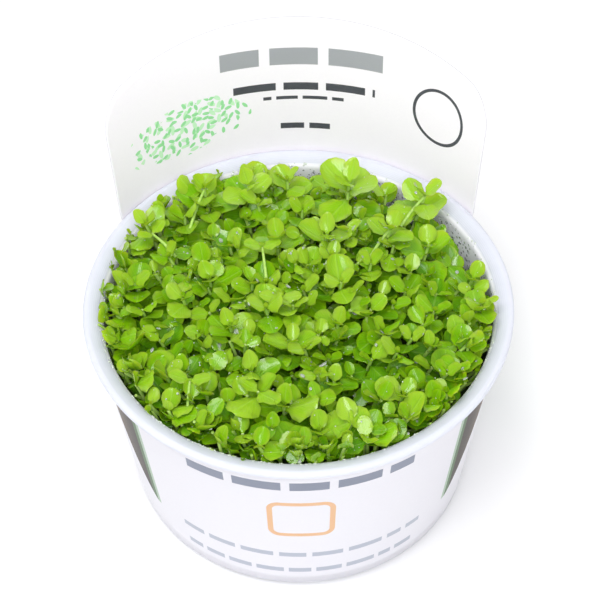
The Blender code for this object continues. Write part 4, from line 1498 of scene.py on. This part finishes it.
def make_gel(settings):
    """The gel with its meniscus, a little clear of the cup."""
    bottom = FLOOR_THICKNESS + GAP
    profile = [
        (0.0, GEL_TOP),
        (wall_inner(GEL_TOP) * 0.9, GEL_TOP),
        (wall_inner(GEL_TOP) * 0.97, GEL_TOP + GEL_MENISCUS * 0.3),
        (wall_inner(GEL_TOP) - GAP, GEL_TOP + GEL_MENISCUS),
        (wall_inner(bottom + 2 * CORNER) - GAP, bottom + 2 * CORNER),
        (wall_inner(bottom) - GAP - 2 * CORNER, bottom),
        (0.0, bottom),
    ]
    line = rounded(profile, CORNER / 2, CORNER_POINTS)
    return lathe("set_gel", line, ROUND_STEPS, gel_material(settings))


def make_roots(settings):
    """Roots that wander down from the tangle into the gel."""
    rng = random.Random(ROOT_SEED)
    skeleton = Skeleton()
    for _ in range(settings.root_count):
        points = [np.array((*random_spot(rng, ROOT_FIELD), ROOT_START))]
        heading = rng.uniform(0.0, math.tau)
        for _ in range(ROOT_STEPS):
            heading += rng.gauss(0.0, ROOT_TURN)
            following = points[-1] + np.array((*polar(WALK_STEP, heading), -rng.uniform(*ROOT_DROP)))
            if following[2] < ROOT_FLOOR or math.hypot(*following[:2]) > ROOT_REACH:
                break
            points.append(following)
        if len(points) > 3:
            skeleton.add_line(points, np.linspace(*ROOT_GIRTHS, len(points)), 0.5)
    return grow_all({"roots": skeleton}, [], [root_material(settings)] * 2, THIN_SIDES)[0]


def make_tangle(settings):
    """The mound that the stems rise from."""
    rng = random.Random(MAT_SEED)
    bottom = GEL_TOP + GEL_MENISCUS + GAP
    bm = bmesh.new()
    reach = wall_inner(MAT_TOP) - 2 * GAP
    top = bm.verts.new((0.0, 0.0, mat_height(0.0, 0.0)))
    grid = []
    for ring in range(1, MAT_RINGS + 1):
        row = []
        for k in range(MAT_SPOKES):
            x, y = polar(reach * ring / MAT_RINGS, math.tau * k / MAT_SPOKES)
            rough = rng.uniform(-MAT_ROUGH, MAT_ROUGH) if ring < MAT_RINGS else 0.0
            row.append(bm.verts.new((x, y, float(mat_height(x, y)) + rough)))
        grid.append(row)
    foot = wall_inner(bottom) - 2 * GAP
    for share in (0.66, 0.33, 0.0):
        z = bottom + (MAT_TOP - MAT_SHOULDER - bottom) * share
        grid.append(level_ring(bm, foot + (reach - foot) * share, z, MAT_SPOKES))
    for k in range(MAT_SPOKES):
        after = (k + 1) % MAT_SPOKES
        bm.faces.new((top, grid[0][k], grid[0][after]))
        for low, high in zip(grid, grid[1:]):
            bm.faces.new((low[k], high[k], high[after], low[after]))
    bm.faces.new(list(reversed(grid[-1])))
    bmesh.ops.recalc_face_normals(bm, faces=bm.faces)
    mound = add_object("tangle_mound", mesh_from(bm, "tangle_mound"))
    mound.data.shade_smooth()
    mound.data.materials.append(tangle_material(settings))
    return mound


def make_creepers(settings):
    """Bare stems that creep over the mound, with a few small shaded leaves."""
    rng = random.Random(CREEPER_SEED)
    skeleton = Skeleton()
    for _ in range(settings.creeper_count):
        place = np.array(random_spot(rng, CREEPER_FIELD))
        heading = rng.uniform(0.0, math.tau)
        lift = rng.uniform(*CREEPER_LIFT)
        points = []
        for k in range(CREEPER_POINTS):
            wave = CREEPER_WAVE * math.sin(k * CREEPER_PACE + lift * CREEPER_PHASE)
            points.append(np.array((*place, float(mat_height(*place)) + lift + wave)))
            heading += rng.gauss(0.0, CREEPER_TURN)
            place = place + np.array(polar(WALK_STEP, heading))
            if math.hypot(*place) > CREEPER_REACH:
                break
        if len(points) < 4:
            continue
        skeleton.add_line(points, [CREEPER_GIRTH] * len(points), 0.2)
        for point in points[1:-1:2]:
            turn, tilt = rng.uniform(0.0, math.tau), math.radians(rng.uniform(*CREEPER_TILTS))
            axes = leaf_axes(turn, tilt, rng.uniform(-0.3, 0.3))
            size = rng.uniform(*CREEPER_LEAVES)
            skeleton.add_shape(point, axes, (size, size, size), rng.randrange(4), rng.uniform(0.0, 0.30))
    return skeleton


def colour_setting(name, description, code):
    """A colour that the panel shows, from an sRGB hex value."""
    return FloatVectorProperty(name=name, description=description, subtype="COLOR", size=4, min=0.0, max=1.0,
                               default=linear(code))


class CupSettings(bpy.types.PropertyGroup):
    plastic: colour_setting("Plastic", "Colour of the frosted plastic", "#DADCE6")
    plastic_shade: colour_setting("Plastic shade", "Its slightly deeper patches", "#CBCEDA")
    # Painted light, partly real condensation: a whiter colour for the inner wall over the plants
    fog_and_painted_glow: colour_setting("Fog", "Film of fine condensation on the inner wall", "#F8F6FE")
    frost: FloatProperty(name="Frost", description="Mean roughness of the moulded skin", min=0.06, max=0.9,
                         default=0.46)
    clarity: FloatProperty(name="Clarity", description="Share of the light that passes through", min=0.0,
                           max=1.0, default=0.10)
    segments: IntProperty(name="Segments", description="Steps round the cup", min=32, max=256, default=144)
    bead_spacing: FloatProperty(name="Bead spacing", description="Least distance between beads on the wall",
                                subtype="DISTANCE", min=0.0002, max=0.01, default=0.00024)
    rim_beads: IntProperty(name="Rim beads", description="Beads in a row along the flange's inner edge",
                           min=0, max=1000, default=230)


class LabelSettings(bpy.types.PropertyGroup):
    # Painted light and shade: the sleeve and the tab are one card, but the sleeve is painted darker and the
    # tab's face brighter and more violet, to even out the light they get and the green light the plants throw
    # on the tab
    card: colour_setting("Card", "The sleeve's white card", "#E4E3EA")
    card_shade: colour_setting("Card shade", "Its faint tooth", "#E0DFE7")
    tab: colour_setting("Tab", "The brighter coat on the tab's face", "#F6F1FE")
    tab_shade: colour_setting("Tab shade", "Its faint tooth", "#F2EDFB")
    pale_ink: colour_setting("Pale ink", "Large bars on the tab", "#A9ABB0")
    dark_ink: colour_setting("Dark ink", "Small bars and the ring on the tab", "#55575E")
    faint_ink: colour_setting("Faint ink", "Lower bars on the sleeve's front", "#AFB4C1")
    slate_ink: colour_setting("Slate ink", "Top bars on the sleeve's front", "#858B9B")
    orange: colour_setting("Orange ink", "The rounded frame at the front", "#E0B48C")
    mint: colour_setting("Mint ink", "Pale printed leaves", "#C9EBCB")
    mint_deep: colour_setting("Deep mint ink", "Deeper printed leaves", "#9FDBA6")
    sage: colour_setting("Sage ink", "Thin line along the green edge", "#A3B8A4")
    leaf_ink: colour_setting("Green ink", "Green edge of the side bands", "#4F6B4A")
    bark: colour_setting("Brown ink", "Brown side bands", "#2C1E12")
    bark_light: colour_setting("Light brown ink", "The bands' paler rear edge", "#6E5238")


class PlantSettings(bpy.types.PropertyGroup):
    young_leaf: colour_setting("Young leaf", "Youngest leaves", "#96C02A")
    leaf: colour_setting("Leaf", "Leaves in full growth", "#7EB507")
    shaded_leaf: colour_setting("Shaded leaf", "Old leaves deep in the carpet", "#56920A")
    vein: colour_setting("Vein", "Rib and veins", "#C4E878")
    stem: colour_setting("Stem", "Stems", "#CBE38C")
    low_shoots: IntProperty(name="Low shoots", description="Lower shoots in the gaps away from the wall",
                            min=0, max=600, default=190)
    drops: IntProperty(name="Drops", description="Drops of water on the leaves", min=0, max=2000, default=320)
    dew: IntProperty(name="Dew", description="Fine beads of dew on the leaves", min=0, max=5000, default=700)


class FillingSettings(bpy.types.PropertyGroup):
    gel: colour_setting("Gel", "Clear gel", "#F4F5E6")
    gel_haze: colour_setting("Gel haze", "Cloudy patches in the gel", "#E6E8CC")
    root: colour_setting("Root", "Roots", "#DCD3B4")
    tangle_green: colour_setting("Tangle green", "Shaded stems", "#3F5E14")
    tangle_brown: colour_setting("Tangle brown", "Dead leaves between them", "#2B3410")
    root_count: IntProperty(name="Roots", description="Roots in the gel", min=0, max=400, default=110)
    creeper_count: IntProperty(name="Creepers", description="Stems that creep over the mound", min=0,
                               max=1000, default=240)


class StageSettings(bpy.types.PropertyGroup):
    floor: colour_setting("Floor", "Pale floor", "#FAFAFB")
    sky: FloatProperty(name="Room light", description="Strength of the even white room", min=0.0, max=5.0,
                       default=0.52)
    key: FloatProperty(name="Key light", description="Power of the light overhead, in watts", min=0.0,
                       max=50.0, default=2.0)
    fill: FloatProperty(name="Fill light", description="Power of the light at the front, in watts", min=0.0,
                        max=50.0, default=2.3)
    elevation: FloatProperty(name="Camera elevation", description="How far the camera looks down",
                             subtype="ANGLE", default=math.radians(49.0))
    distance: FloatProperty(name="Camera distance", description="From the camera to the middle of the rim",
                            subtype="DISTANCE", default=0.304)
    roll: FloatProperty(name="Camera roll", description="Turn about the line of sight", subtype="ANGLE",
                        default=math.radians(-0.8))
    lens: FloatProperty(name="Lens", description="Focal length in millimetres on a 36 mm sensor", min=10.0,
                        max=400.0, default=103.3)


class CARPET_OT_cup(bpy.types.Operator):
    """Build the frosted cup and the beads of condensation on its inner wall"""
    bl_idname = "carpet_plant.cup"
    bl_label = "Culture cup"

    def execute(self, context):
        settings = context.scene.carpet_cup
        hand_over(make_cup(settings), "cup_plastic", "cup")
        hand_over(make_beads(settings), None)
        hand_over(make_rim_beads(settings), None)
        return {"FINISHED"}


class CARPET_OT_label(bpy.types.Operator):
    """Build the printed card with its tall tab"""
    bl_idname = "carpet_plant.label"
    bl_label = "Printed card"

    def execute(self, context):
        hand_over(make_label(context.scene.carpet_label), "label_card", "label")
        return {"FINISHED"}


class CARPET_OT_filling(bpy.types.Operator):
    """Build the gel with its roots and the tangle of creeping stems over it"""
    bl_idname = "carpet_plant.filling"
    bl_label = "Gel and tangle"

    def execute(self, context):
        settings = context.scene.carpet_filling
        hand_over(make_gel(settings), "growth_gel", "growth_gel")
        hand_over(make_roots(settings), "stem_tangle")
        hand_over(make_tangle(settings), "stem_tangle", "stem_mat")
        finishes = plant_finishes(context.scene.carpet_plant)
        creepers = {"creeping_stems": make_creepers(settings)}
        hand_over(grow_all(creepers, leaf_shapes(), finishes, THIN_SIDES)[0], "stem_tangle")
        return {"FINISHED"}


def leaf_shapes():
    """One shape of each kind of leaf."""
    return [leaf_shape(f"leaf_kind_{k}", kind) for k, kind in enumerate(LEAF_KINDS)]


def plant_finishes(settings):
    """The leaf and stem materials, made once."""
    blade = bpy.data.materials.get("living leaf blade") or leaf_material(settings)
    stem = bpy.data.materials.get("living stem") or stem_material(settings)
    return blade, stem


class CARPET_OT_shoots(bpy.types.Operator):
    """Build a fine shoot over each solid one"""
    bl_idname = "carpet_plant.shoots"
    bl_label = "Shoots"

    def execute(self, context):
        rng = random.Random(SEED + 1)
        finishes = plant_finishes(context.scene.carpet_plant)
        _, shoots = grow_shoots()
        if len(shoots) != len(SPRIG_NODES):
            raise RuntimeError(f"{len(shoots)} shoots grew for {len(SPRIG_NODES)} solid ones")
        skeletons = {node.replace("sprig", "shoot"): Skeleton() for node in SPRIG_NODES}
        for skeleton, shoot in zip(skeletons.values(), shoots):
            add_shoot(skeleton, shoot, rng, (0.0, STEM_BOW[0]))
        for obj, node in zip(grow_all(skeletons, leaf_shapes(), finishes), SPRIG_NODES):
            hand_over(obj, "leaf", node)
        return {"FINISHED"}


def quarter(x, y):
    """The number of the piece that a lower shoot joins, by its quarter of the cup."""
    return int((math.atan2(y, x) % math.tau) / math.tau * LOW_GROUPS)


class CARPET_OT_low_shoots(bpy.types.Operator):
    """Build the lower shoots that fill the carpet between the others"""
    bl_idname = "carpet_plant.low_shoots"
    bl_label = "Low shoots"

    def execute(self, context):
        settings = context.scene.carpet_plant
        rng = random.Random(LOW_SEED + 1)
        groups = [Skeleton() for _ in range(LOW_GROUPS)]
        for shoot in grow_low_shoots(settings.low_shoots):
            add_shoot(groups[quarter(*shoot[1][:2])], shoot, rng, STEM_BOW)
        for row in SIDE_SHOOTS:
            add_side_shoot(groups[quarter(*row[:2])], row)
        skeletons = {f"low_shoots_{number}": skeleton for number, skeleton in enumerate(groups, 1)}
        for obj in grow_all(skeletons, leaf_shapes(), plant_finishes(settings)):
            hand_over(press_in(obj), "leaf")
        return {"FINISHED"}


class CARPET_OT_drops(bpy.types.Operator):
    """Build the drops of water that cling to the upper leaves"""
    bl_idname = "carpet_plant.drops"
    bl_label = "Water drops"

    def execute(self, context):
        settings = context.scene.carpet_plant
        rng = random.Random(DROP_SEED)
        thicket, _ = grow_shoots()
        grow_low_shoots(settings.low_shoots)
        upper = [leaf for leaf in thicket.leaves if leaf.centre[2] > CUP_HEIGHT - DROP_DEPTH]
        drops, dew = Skeleton(), Skeleton()
        for _ in range(settings.drops):
            leaf = rng.choice(upper)
            along, across, out = leaf.axes
            near = rng.choice((-1.0, 1.0))
            place = leaf.centre + along * leaf.half[0] * (DROP_ALONG * near * rng.random())
            place = place + across * leaf.half[1] * rng.uniform(-DROP_ACROSS, DROP_ACROSS) + out * DROP_LIFT
            size = DROP_SIZES[0] + DROP_SIZES[1] * rng.random() ** 3
            drops.add_shape(place, leaf.axes, (size, size, size * rng.uniform(*DROP_FLATNESS)), 0, 1.0)
        for _ in range(settings.dew):
            leaf = rng.choice(upper)
            turn, reach = rng.uniform(0.0, math.tau), rng.uniform(*DEW_REACH)
            local = np.array(polar(1.0, turn)) * leaf.half * reach
            size = rng.uniform(*DEW_SIZES)
            place = leaf.centre + local @ leaf.axes[:2] + leaf.axes[2] * DEW_LIFT
            dew.add_shape(place, leaf.axes, (size, size, size), 0, 1.0)
        dew_glint_finish = bpy.data.materials.get("milky dew") or dew_glint_material()
        # The drops on the leaves are less clear, so they are whitened: painted highlight
        for name, skeleton, finish in (("water_drops", drops, water_material("water on leaves", 0.7)),
                                       ("fine_dew", dew, dew_glint_finish)):
            hand_over(grow_all({name: skeleton}, [drop_shape("drop")], [finish] * 2)[0], None)
        return {"FINISHED"}


class CARPET_OT_stage(bpy.types.Operator):
    """Set the pale floor, the soft lights and the camera"""
    bl_idname = "carpet_plant.stage"
    bl_label = "Stage"

    def execute(self, context):
        settings = context.scene.carpet_stage
        floor = add_object("floor", bpy.data.meshes.new("floor"))
        corners = [(x * FLOOR_HALF, y * FLOOR_HALF, 0) for x, y in ((-1, -1), (1, -1), (1, 1), (-1, 1))]
        floor.data.from_pydata(corners, [], [(0, 1, 2, 3)])
        mat, shader = new_material("matt white studio floor")
        wire(shader, {"Base Color": settings.floor, "Roughness": 0.9})
        floor.data.materials.append(mat)
        world = bpy.data.worlds.new("white room")
        world.use_nodes = True
        wire(world.node_tree.nodes["Background"], {"Color": linear("#FFFFFF"), "Strength": settings.sky})
        context.scene.world = world
        aim = Vector((0.0, 0.0, CUP_HEIGHT))
        for name, place, size in LAMPS:
            lamp = bpy.data.lights.new(name, "AREA")
            lamp.size = size
            lamp.energy = getattr(settings, name)
            obj = add_object(name, lamp)
            obj.location = place
            obj.rotation_euler = (Vector(place) - aim).to_track_quat("Z", "Y").to_euler()
        context.scene.view_settings.view_transform = "Standard"
        make_camera(settings)
        return {"FINISHED"}


def make_camera(settings):
    """A camera that looks down at the rim with the photograph's view angle, framing and slight roll."""
    back = Vector((0.0, -math.cos(settings.elevation), math.sin(settings.elevation)))
    right = Vector((1.0, 0.0, 0.0))
    up = back.cross(right)
    turned_right = right * math.cos(settings.roll) + up * math.sin(settings.roll)
    turned_up = up * math.cos(settings.roll) - right * math.sin(settings.roll)
    camera = bpy.data.cameras.new("camera")
    camera.lens = settings.lens
    camera.sensor_width = 36.0
    camera.clip_start = 0.01
    obj = add_object("camera", camera)
    place = Matrix((turned_right, turned_up, back)).transposed().to_4x4()
    place.translation = Vector(AIM) + back * settings.distance
    obj.matrix_world = place
    bpy.context.scene.camera = obj


class CARPET_PT_panel(bpy.types.Panel):
    """Lists the pieces of the carpet plant with their settings"""
    bl_idname = "CARPET_PT_panel"
    bl_label = "Carpet plant"
    bl_space_type = "VIEW_3D"
    bl_region_type = "UI"
    bl_category = "Carpet plant"

    def draw(self, context):
        for operator in OPERATORS:
            self.layout.operator(operator.bl_idname)
        for name, group in SETTINGS.items():
            box = self.layout.box()
            box.label(text=name.replace("carpet_", "").capitalize())
            for key in group.__annotations__:
                box.prop(getattr(context.scene, name), key)


SETTINGS = {
    "carpet_cup": CupSettings,
    "carpet_label": LabelSettings,
    "carpet_plant": PlantSettings,
    "carpet_filling": FillingSettings,
    "carpet_stage": StageSettings,
}
OPERATORS = (CARPET_OT_cup, CARPET_OT_label, CARPET_OT_filling, CARPET_OT_shoots, CARPET_OT_low_shoots,
             CARPET_OT_drops, CARPET_OT_stage)


def register():
    """Add the settings, the operators and the panel."""
    for cls in (*SETTINGS.values(), *OPERATORS, CARPET_PT_panel):
        bpy.utils.register_class(cls)
    for name, group in SETTINGS.items():
        setattr(bpy.types.Scene, name, PointerProperty(type=group))


def unregister():
    """Take them away again."""
    for name in SETTINGS:
        delattr(bpy.types.Scene, name)
    for cls in reversed((*SETTINGS.values(), *OPERATORS, CARPET_PT_panel)):
        bpy.utils.unregister_class(cls)


def main():
    """Build every piece in turn."""
    register()
    for operator in OPERATORS:
        group, name = operator.bl_idname.split(".")
        getattr(getattr(bpy.ops, group), name)()


if __name__ == "__main__":
    main()
